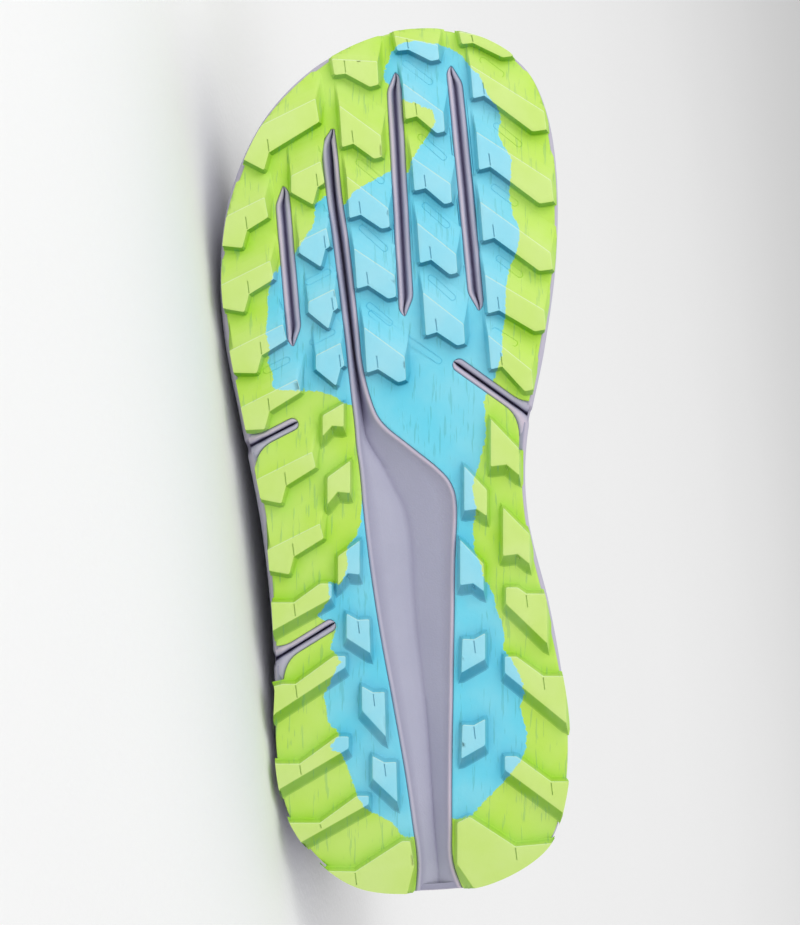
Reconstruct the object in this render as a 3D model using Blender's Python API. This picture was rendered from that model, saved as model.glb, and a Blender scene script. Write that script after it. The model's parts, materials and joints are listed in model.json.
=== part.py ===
"""Trail running shoe for the right foot, lying on its lateral side.

The shoe is built upright in its own frame: X from heel to toe, Y towards the medial side,
Z up from the plane of the tread, all in metres. lay_down() then turns it over onto the
edge of its sole and the side of its upper, with the toe towards -X and the tread towards -Y.

Places round the foot are counted in rows of OUTLINE, from 0 at the back of the heel, along the
lateral side to 15 at the tip of the toe, and back along the medial side to 30.
"""

import math

import bmesh
import bpy
import numpy as np
from mathutils import Vector

# Main sizes
LENGTH = 0.300
BALL_WIDTH = 0.1155
INSTEP_HEIGHT = 0.106
STACK = 0.030
TOE_SPRING = 0.012
HEEL_BEVEL = 0.006
TOE_BREAK = 0.66
HEEL_BREAK = 0.15
TOE_THINNING = 0.26
CLEARANCE = 0.0003

# Outsole
LUG_HEIGHT = 0.0036
LUG_DRAFT = 0.0005
LUG_RAMP = 0.0022
LUG_SUNK = 0.0009
LUG_PROUD = 0.0008
SHEET = 0.0020
WING_NOTCH = 0.0048
WING_LEAN = 0.0010
WING_TOE_SIDE = 1.03
WING_HEEL_SIDE = 0.84
WING_OUTER_FALL = 1.1
WING_KNEE_RISE = 0.92
HOOK_DEPTH = 0.0060
HOOK_STEP = 0.0013
HOOK_TIP = 0.0003
TOOTH_KNEE = 0.55
TOOTH_KNEE_RISE = 0.96
ARROW_RISE = 0.25
ARROW_CREASE = 0.1
ARROW_LEAN = 0.05
BLADE_TIP = 0.0040

# Midsole
LIP_HEIGHT = 0.0070
LIP_WALL = 0.0017
GROOVE_DEPTH = 0.0045
CHANNEL_DEPTH = 0.0060
CHANNEL_LEAST = 0.55
CHANNEL_FULL_HALF = 0.14
CHANNEL_HEEL_END = 0.05
CHANNEL_HEEL_DEPTH = 0.5
CHANNEL_OVERLAP = 1.01
GROOVE_FOAM_SHARE = 0.8
GROOVE_FLARE = 1.2

# Upper and what is fixed to it
UPPER_WALL = 0.0020
FEATHER_RISE = LIP_HEIGHT + 5 * CLEARANCE
COLLAR_PAD = 0.0045
PAD_START = 0.45
PAD_SWELL = 0.3
PAD_ROLL = 0.85
PAD_THINNED = 0.6
OVERLAY_WALL = 0.0011
OVERLAY_GAP = 0.00045
OVERLAY_REST = 4 * CLEARANCE
EYESTAY_WIDTH = 0.019
EYESTAY_SETBACK = 0.0020
EYELET_RADIUS = 0.0023
EYELET_INSET = 0.0085
EYELET_PAIRS = 6
EYELET_START = 0.33
EYELET_SPAN = 0.62
TONGUE_START = 0.12
COUNTER_HEIGHT = 0.034
TOE_CAP_HEIGHT = 0.030
TOE_CAP_REACH = 1.7
COUNTER_REACH = 4.6
COUNTER_FALL = 0.55
UPPER_LEAN_IN = 0.1

# Inside and lacing
INSOLE = 0.0045
INSOLE_BEVEL = 0.0010
TONGUE_WALL = 0.0045
TONGUE_CLEARANCE = 0.0011
TONGUE_CROWN = 0.0030
TONGUE_WING = 0.014
TONGUE_RISE = 0.018
TONGUE_TAPER = 0.20
LACE_WIDTH = 0.0058
LACE_THICK = 0.0014
LACE_GATHER = 0.45
LACE_APART = 0.16
LACE_SLANT = 4.5

PLACES = 30.0
TOE_PLACE = 15.0
RAYS = 66
RAY_STEPS = 9
EYESTAY_STEPS = 31
COUNTER_STEPS = 21
TOE_CAP_STEPS = 11
LACE_STEPS = 6
CHANNEL_STEPS = 6
EYELET_SIDES = 8
STATION_SPACING = 0.016
SMOOTH_ANGLE = 38

# Densities in kg per cubic metre, which the way that the shoe lies follows from
RUBBER_DENSITY = 1100
FOAM_DENSITY = 180
INSOLE_DENSITY = 200
UPPER_DENSITY = 350
TONGUE_DENSITY = 120
OVERLAY_DENSITY = 900
LACE_DENSITY = 500

# Sole seen from below. along is a share of LENGTH from the heel; across a share of BALL_WIDTH,
# positive to the medial side; rim is how far the foam stands out past the rubber, and feather how
# far inside the edge the upper meets the sole, both shares of BALL_WIDTH.
OUTLINE = [
    (0.011, 0.067, 0.008, 0.078),
    (0.019, -0.112, 0.000, 0.084),
    (0.052, -0.241, 0.000, 0.087),
    (0.106, -0.325, -0.006, 0.087),
    (0.180, -0.364, 0.000, 0.084),
    (0.253, -0.372, 0.011, 0.078),
    (0.338, -0.384, 0.014, 0.067),
    (0.437, -0.415, 0.022, 0.056),
    (0.545, -0.471, 0.020, 0.053),
    (0.637, -0.518, 0.020, 0.053),
    (0.717, -0.532, 0.014, 0.053),
    (0.800, -0.507, 0.017, 0.050),
    (0.884, -0.417, 0.017, 0.046),
    (0.946, -0.275, 0.017, 0.046),
    (0.981, -0.112, 0.008, 0.046),
    (0.993, 0.062, 0.000, 0.046),
    (0.985, 0.230, 0.004, 0.046),
    (0.955, 0.364, 0.011, 0.046),
    (0.903, 0.434, 0.014, 0.050),
    (0.827, 0.465, 0.014, 0.053),
    (0.729, 0.462, 0.011, 0.053),
    (0.627, 0.427, 0.018, 0.048),
    (0.524, 0.376, 0.014, 0.042),
    (0.437, 0.380, 0.012, 0.050),
    (0.340, 0.441, 0.015, 0.070),
    (0.260, 0.479, 0.008, 0.081),
    (0.194, 0.496, 0.003, 0.087),
    (0.121, 0.487, 0.006, 0.087),
    (0.061, 0.434, 0.011, 0.087),
    (0.021, 0.269, 0.011, 0.084),
]

# Side of the midsole from its lower edge to its lip: height as a share of its own height, and how
# far in it lies as a share of the way from the widest line to the top of the lip.
SIDE_RINGS = [
    (0.14, 0.05),
    (0.32, 0.00),
    (0.52, 0.16),
    (0.57, 0.42),
    (0.80, 0.62),
    (1.00, 1.00),
]

# Flex groove and open channel down the middle of the tread: along, lateral edge, medial edge.
CHANNEL = [
    (0.879, -0.204, -0.193),
    (0.857, -0.230, -0.185),
    (0.805, -0.218, -0.171),
    (0.753, -0.199, -0.151),
    (0.701, -0.182, -0.135),
    (0.649, -0.165, -0.120),
    (0.610, -0.154, -0.109),
    (0.571, -0.143, -0.084),
    (0.545, -0.135, -0.050),
    (0.519, -0.129, 0.031),
    (0.493, -0.120, 0.115),
    (0.474, -0.115, 0.154),
    (0.448, -0.109, 0.168),
    (0.390, -0.092, 0.163),
    (0.312, -0.062, 0.160),
    (0.234, -0.025, 0.157),
    (0.156, 0.011, 0.154),
    (0.091, 0.036, 0.154),
    (0.043, 0.050, 0.160),
    (-0.010, 0.040, 0.215),
]

# Straight grooves through the rubber: along and across at each end, width. The last three are
# the notches, which run out through the edge of the sole.
GROOVES = [
    (0.815, -0.350, 0.630, -0.308, 0.045),
    (0.946, -0.020, 0.664, 0.020, 0.045),
    (0.954, 0.157, 0.670, 0.227, 0.045),
    (0.610, 0.174, 0.540, 0.430, 0.040),
    (0.543, -0.317, 0.505, -0.510, 0.038),
    (0.315, -0.207, 0.262, -0.430, 0.038),
]

# Forefoot chevrons in three columns: along and across of the high inner corner; width; drop of
# the outer corner; height of the inner and of the outer end.
WINGS = [
    (0.991, 0.174, 0.154, 0.013, 0.015, 0.016),
    (0.952, 0.207, 0.218, 0.054, 0.039, 0.021),
    (0.875, 0.224, 0.221, 0.056, 0.044, 0.024),
    (0.795, 0.235, 0.207, 0.058, 0.045, 0.019),
    (0.712, 0.249, 0.174, 0.040, 0.044, 0.022),
    (0.644, 0.258, 0.129, 0.040, 0.039, 0.022),
    (0.986, -0.017, 0.129, 0.011, 0.018, 0.017),
    (0.931, 0.008, 0.120, 0.034, 0.042, 0.022),
    (0.846, 0.034, 0.115, 0.031, 0.039, 0.021),
    (0.771, 0.050, 0.115, 0.036, 0.046, 0.021),
    (0.692, 0.067, 0.120, 0.036, 0.049, 0.022),
    (0.959, -0.202, 0.135, 0.003, 0.019, 0.027),
    (0.905, -0.179, 0.123, 0.035, 0.048, 0.024),
    (0.824, -0.157, 0.123, 0.037, 0.048, 0.021),
    (0.742, -0.135, 0.120, 0.031, 0.046, 0.024),
    (0.653, -0.106, 0.120, 0.034, 0.052, 0.026),
]

# Hooked lateral lugs: along and across of the inner top corner; thickness; length of the straight
# arm; reach to the outer end; height of that end.
HOOKS = [
    (0.913, -0.249, 0.027, 0.148, 0.215, 0.028),
    (0.800, -0.398, 0.023, 0.062, 0.135, 0.029),
    (0.728, -0.381, 0.021, 0.073, 0.160, 0.022),
    (0.656, -0.344, 0.018, 0.073, 0.185, 0.019),
    (0.594, -0.302, 0.015, 0.092, 0.190, 0.022),
    (0.841, -0.233, 0.025, 0.020, 0.087, 0.019),
    (0.765, -0.216, 0.021, 0.014, 0.080, 0.013),
    (0.696, -0.193, 0.022, 0.014, 0.076, 0.012),
    (0.635, -0.174, 0.026, 0.011, 0.073, 0.016),
    (0.512, -0.258, 0.018, 0.087, 0.180, 0.017),
    (0.431, -0.235, 0.017, 0.087, 0.172, 0.019),
]
HOOK_SLOPE = 0.50
HOOK_ARM_SLOPE = 0.62

# Short midfoot lugs: along and across of the high corner; width; drop; tall and short side; side
# of the high corner that the lug lies on, 1 for medial.
TEETH = [
    (0.567, -0.165, 0.062, 0.014, 0.027, 0.024, -1),
    (0.502, -0.146, 0.067, 0.019, 0.037, 0.031, -1),
    (0.412, -0.118, 0.064, 0.018, 0.039, 0.033, -1),
    (0.549, 0.266, 0.084, 0.034, 0.054, 0.030, 1),
    (0.449, 0.302, 0.078, 0.030, 0.055, 0.034, 1),
    (0.496, 0.188, 0.067, 0.027, 0.051, 0.030, 1),
    (0.413, 0.176, 0.070, 0.028, 0.052, 0.031, 1),
]

# Small lugs beside the channel: along and across of the corner at the channel; width; long and
# short side; side that the lug lies on.
ARROWS = [
    (0.323, -0.090, 0.067, 0.039, 0.028, -1),
    (0.241, -0.045, 0.067, 0.051, 0.028, -1),
    (0.162, -0.011, 0.070, 0.046, 0.026, -1),
    (0.301, 0.183, 0.067, 0.039, 0.030, 1),
    (0.204, 0.183, 0.067, 0.039, 0.030, 1),
]

# Heel blades along the edge: along and across of the outer top corner; flat part; run of the
# rising part; height of the inner tip and of the outer end; side of the shoe.
BLADES = [
    (0.342, -0.390, 0.079, 0.076, 0.017, 0.036, -1),
    (0.250, -0.390, 0.084, 0.112, 0.013, 0.040, -1),
    (0.160, -0.378, 0.084, 0.109, 0.014, 0.035, -1),
    (0.093, -0.341, 0.106, 0.109, 0.010, 0.034, -1),
    (0.352, 0.432, 0.062, 0.025, 0.019, 0.057, 1),
    (0.259, 0.488, 0.068, 0.078, 0.019, 0.054, 1),
    (0.140, 0.502, 0.059, 0.101, 0.016, 0.043, 1),
]
BLADE_RISE = 0.73

# The two plates at the back of the heel, corner by corner: along, across.
HEEL_PLATES = [
    [(0.038, -0.260), (0.037, -0.132), (0.072, 0.006), (0.072, 0.030), (0.043, 0.042),
     (0.008, 0.020), (-0.008, -0.006), (-0.008, -0.090), (0.012, -0.230)],
    [(0.093, 0.168), (0.100, 0.204), (0.066, 0.339), (0.071, 0.480), (0.046, 0.440),
     (0.006, 0.280), (0.012, 0.226), (0.045, 0.168)],
]

# Upper, ray by ray: place round the foot; along and across of its upper end; height of that end
# as a share of INSTEP_HEIGHT; outward lean of the wall above the sole as a share of BALL_WIDTH;
# rise of that wall as a share of the ray's height; shoulder and fall of the ray below its upper
# end, shares of BALL_WIDTH.
UPPER = [
    (0.0, 0.050, 0.075, 0.955, 0.050, 0.38, 0.009, 0.193),
    (2.0, 0.085, -0.110, 0.910, 0.040, 0.40, 0.026, 0.193),
    (4.0, 0.170, -0.200, 0.800, 0.026, 0.45, 0.070, 0.150),
    (5.3, 0.250, -0.225, 0.795, 0.026, 0.45, 0.070, 0.140),
    (6.3, 0.325, -0.215, 0.895, 0.026, 0.50, 0.080, 0.155),
    (7.0, 0.370, -0.200, 0.980, 0.026, 0.50, 0.105, 0.155),
    (8.5, 0.470, -0.165, 0.885, 0.018, 0.55, 0.175, 0.105),
    (10.5, 0.570, -0.120, 0.765, 0.009, 0.60, 0.330, 0.055),
    (13.0, 0.625, -0.060, 0.695, 0.000, 0.70, 0.490, 0.045),
    (15.0, 0.640, 0.015, 0.675, 0.000, 0.75, 0.540, 0.045),
    (17.0, 0.625, 0.090, 0.700, 0.000, 0.70, 0.490, 0.045),
    (19.3, 0.570, 0.150, 0.775, 0.018, 0.62, 0.315, 0.055),
    (21.2, 0.470, 0.185, 0.905, 0.090, 0.50, 0.140, 0.105),
    (22.8, 0.370, 0.200, 1.000, 0.140, 0.45, 0.088, 0.155),
    (23.6, 0.325, 0.225, 0.925, 0.090, 0.45, 0.075, 0.155),
    (24.8, 0.250, 0.270, 0.820, 0.035, 0.45, 0.070, 0.140),
    (26.2, 0.170, 0.285, 0.830, 0.030, 0.45, 0.070, 0.140),
    (28.0, 0.085, 0.230, 0.915, 0.040, 0.40, 0.026, 0.193),
]
THROAT_TOP = (7.0, 22.8)
FEATHER_PLACE = 0.12


def plan(along, across):
    """Point on the plan of the sole, from shares of its length and ball width."""
    return np.array([along * LENGTH, across * BALL_WIDTH])


def smooth(value):
    """Smooth step from 0 to 1."""
    value = min(max(value, 0.0), 1.0)
    return value * value * (3 - 2 * value)


def loop_curve(table):
    """Smooth closed curve through rows whose first column is the place round the foot."""
    knots = [row[0] for row in table]
    rows = [np.array(row[1:]) for row in table]
    count = len(rows)

    def at(place):
        place %= PLACES
        low = max(i for i in range(count) if knots[i] <= place)
        high = (low + 1) % count
        span = (knots[high] - knots[low]) % PLACES
        lead = (knots[low] - knots[low - 1]) % PLACES
        tail = (knots[(high + 1) % count] - knots[high]) % PLACES
        leaving = (rows[high] - rows[low - 1]) / (lead + span) * span
        arriving = (rows[(high + 1) % count] - rows[low]) / (span + tail) * span
        s = (place - knots[low]) / span
        return (
            (2 * s**3 - 3 * s**2 + 1) * rows[low]
            + (s**3 - 2 * s**2 + s) * leaving
            + (3 * s**2 - 2 * s**3) * rows[high]
            + (s**3 - s**2) * arriving
        )

    return at


outline_at = loop_curve([(place, *row) for place, row in enumerate(OUTLINE)])
upper_at = loop_curve(UPPER)


def edge(place):
    """Plan point on the widest line of the sole, and the outward normal there."""
    step = 0.02
    point = plan(*outline_at(place)[:2])
    along = plan(*outline_at(place + step)[:2]) - plan(*outline_at(place - step)[:2])
    normal = np.array([along[1], -along[0]])
    return point, normal / np.linalg.norm(normal)


def inset(place, distance):
    """Plan point that lies inside the widest line by a distance."""
    point, normal = edge(place)
    return point - normal * distance


def rim(place):
    return outline_at(place)[2] * BALL_WIDTH


def feather(place):
    return outline_at(place)[3] * BALL_WIDTH


def ground(x):
    """Height of the tread above the plane of its flat middle: toe spring and heel bevel."""
    toe = max(0.0, x / LENGTH - TOE_BREAK) / (1 - TOE_BREAK)
    heel = max(0.0, HEEL_BREAK - x / LENGTH) / HEEL_BREAK
    return TOE_SPRING * toe**2 + HEEL_BEVEL * heel**2


def footbed(x):
    """Height of the top of the midsole above the tread, thinner towards the toe."""
    return STACK * (1 - TOE_THINNING * smooth((x / LENGTH - 0.5) / 0.5))


def ray_places():
    return [PLACES * i / RAYS for i in range(RAYS)]


def upper_point(place, level):
    """Point on the outside of the upper: level 0 at the sole, 1 at the top line."""
    along, across, height, lean, rise, shoulder, fall = upper_at(place)
    normal = edge(place)[1]
    foot = inset(place, feather(place))
    base = ground(foot[0]) + footbed(foot[0]) + CLEARANCE
    if level < FEATHER_PLACE:
        return np.array([*foot, base + FEATHER_RISE * level / FEATHER_PLACE])
    start = np.array([*foot, base + FEATHER_RISE])
    end = np.array([*plan(along, across), height * INSTEP_HEIGHT])
    up = np.array([0.0, 0.0, end[2] - start[2]])
    out = foot - end[:2] + normal * UPPER_LEAN_IN * BALL_WIDTH
    out = np.array([*(out / np.linalg.norm(out)), 0.0])
    first = start + up * rise + np.array([*normal, 0.0]) * lean * BALL_WIDTH
    second = end + out * shoulder * BALL_WIDTH - np.array([0, 0, fall * BALL_WIDTH])
    t = (level - FEATHER_PLACE) / (1 - FEATHER_PLACE)
    s = 1 - t
    return s**3 * start + 3 * s**2 * t * first + 3 * s * t**2 * second + t**3 * end


def upper_normal(place, level):
    """Outward normal of the upper."""
    step = 0.004
    low = max(level - step, 0.0)
    high = min(level + step, 1.0)
    around = upper_point(place + 0.05, level) - upper_point(place - 0.05, level)
    along = upper_point(place, high) - upper_point(place, low)
    normal = np.cross(around, along)
    return normal / np.linalg.norm(normal)


def off_upper(place, level, distance):
    """Point at a distance outside the upper's surface, or inside where it is negative."""
    return upper_point(place, level) + upper_normal(place, level) * distance


def padding(place, level):
    """Thickness of the collar's padding, which fades out towards the throat and the sole."""
    lateral, medial = THROAT_TOP
    from_heel = min(place % PLACES, PLACES - place % PLACES)
    end = lateral if place % PLACES < TOE_PLACE else PLACES - medial
    swelling = smooth((level - PAD_START) / PAD_SWELL)
    rolling = 1 - PAD_THINNED * smooth((level - PAD_ROLL) / (1 - PAD_ROLL))
    return COLLAR_PAD * smooth((end - from_heel) / 2) * swelling * rolling


def ray_length(place):
    points = [upper_point(place, level) for level in np.linspace(0, 1, 13)]
    return sum(np.linalg.norm(b - a) for a, b in zip(points, points[1:]))


def level_below_top(place, distance):
    """Level that lies a distance below the top line, measured down the ray."""
    return 1 - distance / ray_length(place)


def lip_top(place):
    """Height of the top of the midsole's lip."""
    x = inset(place, feather(place))[0]
    return ground(x) + footbed(x) + LIP_HEIGHT


def level_at_height(place, height):
    """Lowest level at which the upper reaches a height."""
    low, high = 0.0, 1.0
    for _ in range(24):
        middle = (low + high) / 2
        if upper_point(place, middle)[2] < height:
            low = middle
        else:
            high = middle
    return high


def principled(name, color, roughness, metallic=0.0):
    material = bpy.data.materials.new(name)
    material.use_nodes = True
    shader = material.node_tree.nodes["Principled BSDF"]
    shader.inputs["Base Color"].default_value = (*color, 1)
    shader.inputs["Roughness"].default_value = roughness
    shader.inputs["Metallic"].default_value = metallic
    return material


def node(name, mesh, material):
    """Named object of one sub-part, in its own material."""
    part = bpy.data.objects.new(name, mesh)
    bpy.context.collection.objects.link(part)
    mesh.materials.clear()
    mesh.materials.append(material)
    mesh.shade_smooth()
    mesh.set_sharp_from_angle(angle=math.radians(SMOOTH_ANGLE))
    return part


def mesh_from(points, faces):
    """Closed mesh from points and faces, with its faces turned outwards."""
    mesh = bpy.data.meshes.new("mesh")
    mesh.from_pydata([tuple(point) for point in points], [], faces)
    shape = bmesh.new()
    shape.from_mesh(mesh)
    bmesh.ops.recalc_face_normals(shape, faces=shape.faces)
    if shape.calc_volume(signed=True) < 0:
        bmesh.ops.reverse_faces(shape, faces=shape.faces)
    shape.to_mesh(mesh)
    shape.free()
    return mesh


def triangulated(mesh):
    shape = bmesh.new()
    shape.from_mesh(mesh)
    bmesh.ops.triangulate(shape, faces=shape.faces)
    shape.to_mesh(mesh)
    shape.free()
    return mesh


def boolean(mesh, other, operation, crossing=True):
    """Mesh of one Boolean operation; crossing allows for shapes that overlap in either mesh."""
    target = bpy.data.objects.new("target", mesh)
    cutter = bpy.data.objects.new("cutter", other)
    for item in (target, cutter):
        bpy.context.collection.objects.link(item)
    modifier = target.modifiers.new("boolean", "BOOLEAN")
    modifier.operation = operation
    modifier.solver = "EXACT"
    modifier.use_self = crossing
    modifier.object = cutter
    graph = bpy.context.evaluated_depsgraph_get()
    result = bpy.data.meshes.new_from_object(target.evaluated_get(graph))
    for item in (target, cutter):
        bpy.data.objects.remove(item)
    return result


def joined(meshes):
    """One mesh that holds several closed shapes."""
    shape = bmesh.new()
    for mesh in meshes:
        shape.from_mesh(mesh)
    result = bpy.data.meshes.new("joined")
    shape.to_mesh(result)
    shape.free()
    return result


def rings_mesh(rings, closed=False):
    """Skin over rings of equally many points, closed by ladder caps unless the rings close up."""
    count = len(rings[0])
    points = [point for ring in rings for point in ring]
    faces = []
    last = len(rings) if closed else len(rings) - 1
    for row in range(last):
        low, high = row * count, (row + 1) % len(rings) * count
        for i in range(count):
            j = (i + 1) % count
            faces.append((low + i, low + j, high + j, high + i))
    if not closed:
        for start in (0, (len(rings) - 1) * count):
            faces.extend(ladder(start, count))
    return mesh_from(points, faces)


def ladder(start, count):
    """Faces across a ring, rung by rung from its first point to the opposite one."""
    half = count // 2
    faces = [(start, start + 1, start + count - 1)]
    for i in range(1, half - 1):
        faces.append((start + i, start + i + 1, start + count - i - 1, start + count - i))
    faces.append((start + half - 1, start + half, start + half + 1))
    return faces


def prism(low, high, bottom, top):
    """Solid between two plan polygons of equally many corners, at two heights."""
    count = len(low)
    points = [(*p, bottom) for p in low] + [(*p, top) for p in high]
    faces = [tuple(range(count)), tuple(range(count, 2 * count))]
    for i in range(count):
        j = (i + 1) % count
        faces.append((i, j, count + j, count + i))
    return mesh_from(points, faces)


def counterclockwise(polygon):
    area = sum(a[0] * b[1] - a[1] * b[0] for a, b in zip(polygon, polygon[1:] + polygon[:1]))
    return polygon if area > 0 else polygon[::-1]


def grown(polygon, distance):
    """Polygon whose edges are moved out by a distance that depends on their outward normal."""
    count = len(polygon)
    lines = []
    for i in range(count):
        start, end = polygon[i], polygon[(i + 1) % count]
        way = (end - start) / np.linalg.norm(end - start)
        normal = np.array([way[1], -way[0]])
        lines.append((normal, normal @ start + distance(normal)))
    corners = []
    for i in range(count):
        (first, reach), (second, other_reach) = lines[i - 1], lines[i]
        corners.append(np.linalg.solve(np.array([first, second]), np.array([reach, other_reach])))
    return corners


def bent(mesh, stations):
    """Flat sole cut across at stations and lifted to the curve of the tread."""
    shape = bmesh.new()
    shape.from_mesh(mesh)
    for x in stations:
        everything = shape.verts[:] + shape.edges[:] + shape.faces[:]
        bmesh.ops.bisect_plane(
            shape, geom=everything, dist=2e-5, plane_co=(x, 0, 0), plane_no=(1, 0, 0)
        )
    bmesh.ops.triangulate(shape, faces=shape.faces, ngon_method="BEAUTY")
    for vertex in shape.verts:
        vertex.co.z += ground(vertex.co.x)
    shape.to_mesh(mesh)
    shape.free()
    return mesh


def bend_stations(spacing):
    """Places along the toe spring and the heel bevel where the tread's curve is followed."""
    toe = np.arange(TOE_BREAK * LENGTH, LENGTH, spacing)
    heel = np.arange(HEEL_BREAK * LENGTH, 0, -spacing)
    return [*toe, *heel]


def wing(along, across, width, drop, inner, outer):
    """Chevron of the forefoot, from its high inner corner outwards."""
    w = width * BALL_WIDTH
    d, h, o = drop * LENGTH, inner * LENGTH, outer * LENGTH
    notch = min(WING_NOTCH, 0.5 * w)
    corners = [(0, 0), (-d, w), (-d - o, WING_TOE_SIDE * w),
               (-d - WING_OUTER_FALL * o, WING_HEEL_SIDE * w),
               (-WING_KNEE_RISE * h, notch), (-h, WING_LEAN)]
    return [plan(along, across) + corner for corner in corners]


def hook(along, across, thickness, arm, reach, outer):
    """Lateral lug that runs out to the edge and hooks down towards the heel."""
    t, o = thickness * LENGTH, outer * LENGTH
    a, r = arm * BALL_WIDTH, reach * BALL_WIDTH
    elbow = -t - HOOK_ARM_SLOPE * a
    corners = [(0, 0), (-t, HOOK_STEP), (elbow, HOOK_STEP - a), (elbow - HOOK_DEPTH, -HOOK_TIP - a),
               (-HOOK_SLOPE * r - o, -r), (-HOOK_SLOPE * r, -r)]
    return [plan(along, across) + corner for corner in corners]


def tooth(along, across, width, drop, tall, short, side):
    w = width * BALL_WIDTH * side
    d, t, s = drop * LENGTH, tall * LENGTH, short * LENGTH
    corners = [(0, 0), (-d, w), (-d - s, w), (-TOOTH_KNEE_RISE * t, TOOTH_KNEE * w), (-t, 0)]
    return [plan(along, across) + corner for corner in corners]


def arrow(along, across, width, tall, short, side):
    w = width * BALL_WIDTH * side
    t, s = tall * LENGTH, short * LENGTH
    rise = ARROW_RISE * abs(w)
    corners = [(0, 0), (-ARROW_CREASE * rise, w / 2), (rise, w), (rise - s, w), (-t, -ARROW_LEAN * w)]
    return [plan(along, across) + corner for corner in corners]


def blade(along, across, flat, run, tip, height, side):
    """Heel lug that runs in from the edge and rises towards the toe."""
    f, r = flat * BALL_WIDTH * -side, run * BALL_WIDTH * -side
    end = f + r - side * BLADE_TIP
    rise = BLADE_RISE * abs(r)
    corners = [(0, 0), (0, f), (rise, f + r), (rise, end), (rise - tip * LENGTH, end),
               (-height * LENGTH, 0)]
    return [plan(along, across) + corner for corner in corners]


def lug_polygons():
    """Tops of all the lugs, each with the end of the shoe that its ramp faces."""
    forefoot = [wing(*row) for row in WINGS] + [hook(*row) for row in HOOKS]
    rear = [tooth(*row) for row in TEETH] + [arrow(*row) for row in ARROWS]
    rear += [blade(*row) for row in BLADES]
    rear += [[plan(*corner) for corner in corners] for corners in HEEL_PLATES]
    return [(polygon, 1) for polygon in forefoot] + [(polygon, -1) for polygon in rear]


def lug(polygon, facing):
    """Lug with steep walls, and a ramp on the side that faces the given end of the shoe."""
    top = counterclockwise(polygon)
    foot = grown(top, lambda normal: LUG_DRAFT + LUG_RAMP * max(0.0, normal[0] * facing))
    return prism(top, foot, 0.0, LUG_HEIGHT + LUG_SUNK)


def outline_loop(distance):
    """Plan loop round the sole, inside its widest line by a distance that varies."""
    return [inset(place, distance(place)) for place in ray_places()]


def slot(start, end, width, bottom, top, sharp):
    """Cutter along a straight groove, with a V section where it is sharp."""
    way = (end - start) / np.linalg.norm(end - start)
    side = np.array([-way[1], way[0]]) * width / 2
    if sharp:
        section = [(-GROOVE_FLARE, bottom), (0.0, top), (GROOVE_FLARE, bottom)]
    else:
        section = [(-1, bottom), (-1, top), (1, top), (1, bottom)]
    count = len(section)
    points = [(*(p + side * s), z) for p in (start, end) for s, z in section]
    faces = [tuple(range(count)), tuple(range(count, 2 * count))]
    for i in range(count):
        j = (i + 1) % count
        faces.append((i, j, count + j, count + i))
    return mesh_from(points, faces)


def groove_cutters(width_share, bottom, top, sharp):
    cutters = []
    for along, across, end_along, end_across, width in GROOVES:
        start, end = plan(along, across), plan(end_along, end_across)
        cutters.append(slot(start, end, width * BALL_WIDTH * width_share, bottom, top, sharp))
    return cutters


def channel_cutter(bottom, top, arched):
    """Cutter along the channel: straight walls through the rubber, or an arch in the foam."""
    rings = []
    for along, lateral, medial in CHANNEL:
        (x, left), (_, right) = plan(along, lateral), plan(along, medial)
        middle, half = (left + right) / 2, (right - left) / 2
        if arched:
            fullness = half / (CHANNEL_FULL_HALF * BALL_WIDTH)
            depth = (top - bottom) * min(1.0, CHANNEL_LEAST + (1 - CHANNEL_LEAST) * fullness)
            if along < CHANNEL_HEEL_END:
                depth *= CHANNEL_HEEL_DEPTH
            turns = [math.pi * i / CHANNEL_STEPS for i in range(CHANNEL_STEPS + 1)]
            spread = half * CHANNEL_OVERLAP
            ring = [(x, middle - spread * math.cos(t), bottom + depth * math.sin(t)) for t in turns]
            ring = [(x, ring[0][1], bottom - SHEET)] + ring + [(x, ring[-1][1], bottom - SHEET)]
        else:
            ring = [(x, left, bottom), (x, left, top), (x, right, top), (x, right, bottom)]
        rings.append(ring)
    count = len(rings[0])
    points = [point for ring in rings for point in ring]
    faces = [tuple(range(count)), tuple(range(len(points) - count, len(points)))]
    for row in range(len(rings) - 1):
        for i in range(count):
            j = (i + 1) % count
            low, high = row * count, (row + 1) * count
            faces.append((low + i, low + j, high + j, high + i))
    return mesh_from(points, faces)


def outsole(material):
    """Rubber sheet with its lugs, open along the grooves and the channel."""
    border = outline_loop(lambda place: rim(place) - LUG_PROUD)
    fence = prism(border, border, -LUG_HEIGHT, LUG_HEIGHT + SHEET)
    lugs = boolean(joined([lug(*item) for item in lug_polygons()]), fence, "INTERSECT")
    sheet_loop = outline_loop(rim)
    sheet = prism(sheet_loop, sheet_loop, LUG_HEIGHT, LUG_HEIGHT + SHEET)
    mesh = boolean(sheet, lugs, "UNION")
    low, high = LUG_HEIGHT - 2 * LUG_DRAFT, LUG_HEIGHT + 2 * SHEET
    mesh = boolean(mesh, joined(groove_cutters(1.0, -LUG_HEIGHT, high, False)), "DIFFERENCE")
    mesh = boolean(mesh, channel_cutter(low - LUG_HEIGHT, high, False), "DIFFERENCE")
    return node("outsole", bent(mesh, bend_stations(STATION_SPACING)), material)


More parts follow.
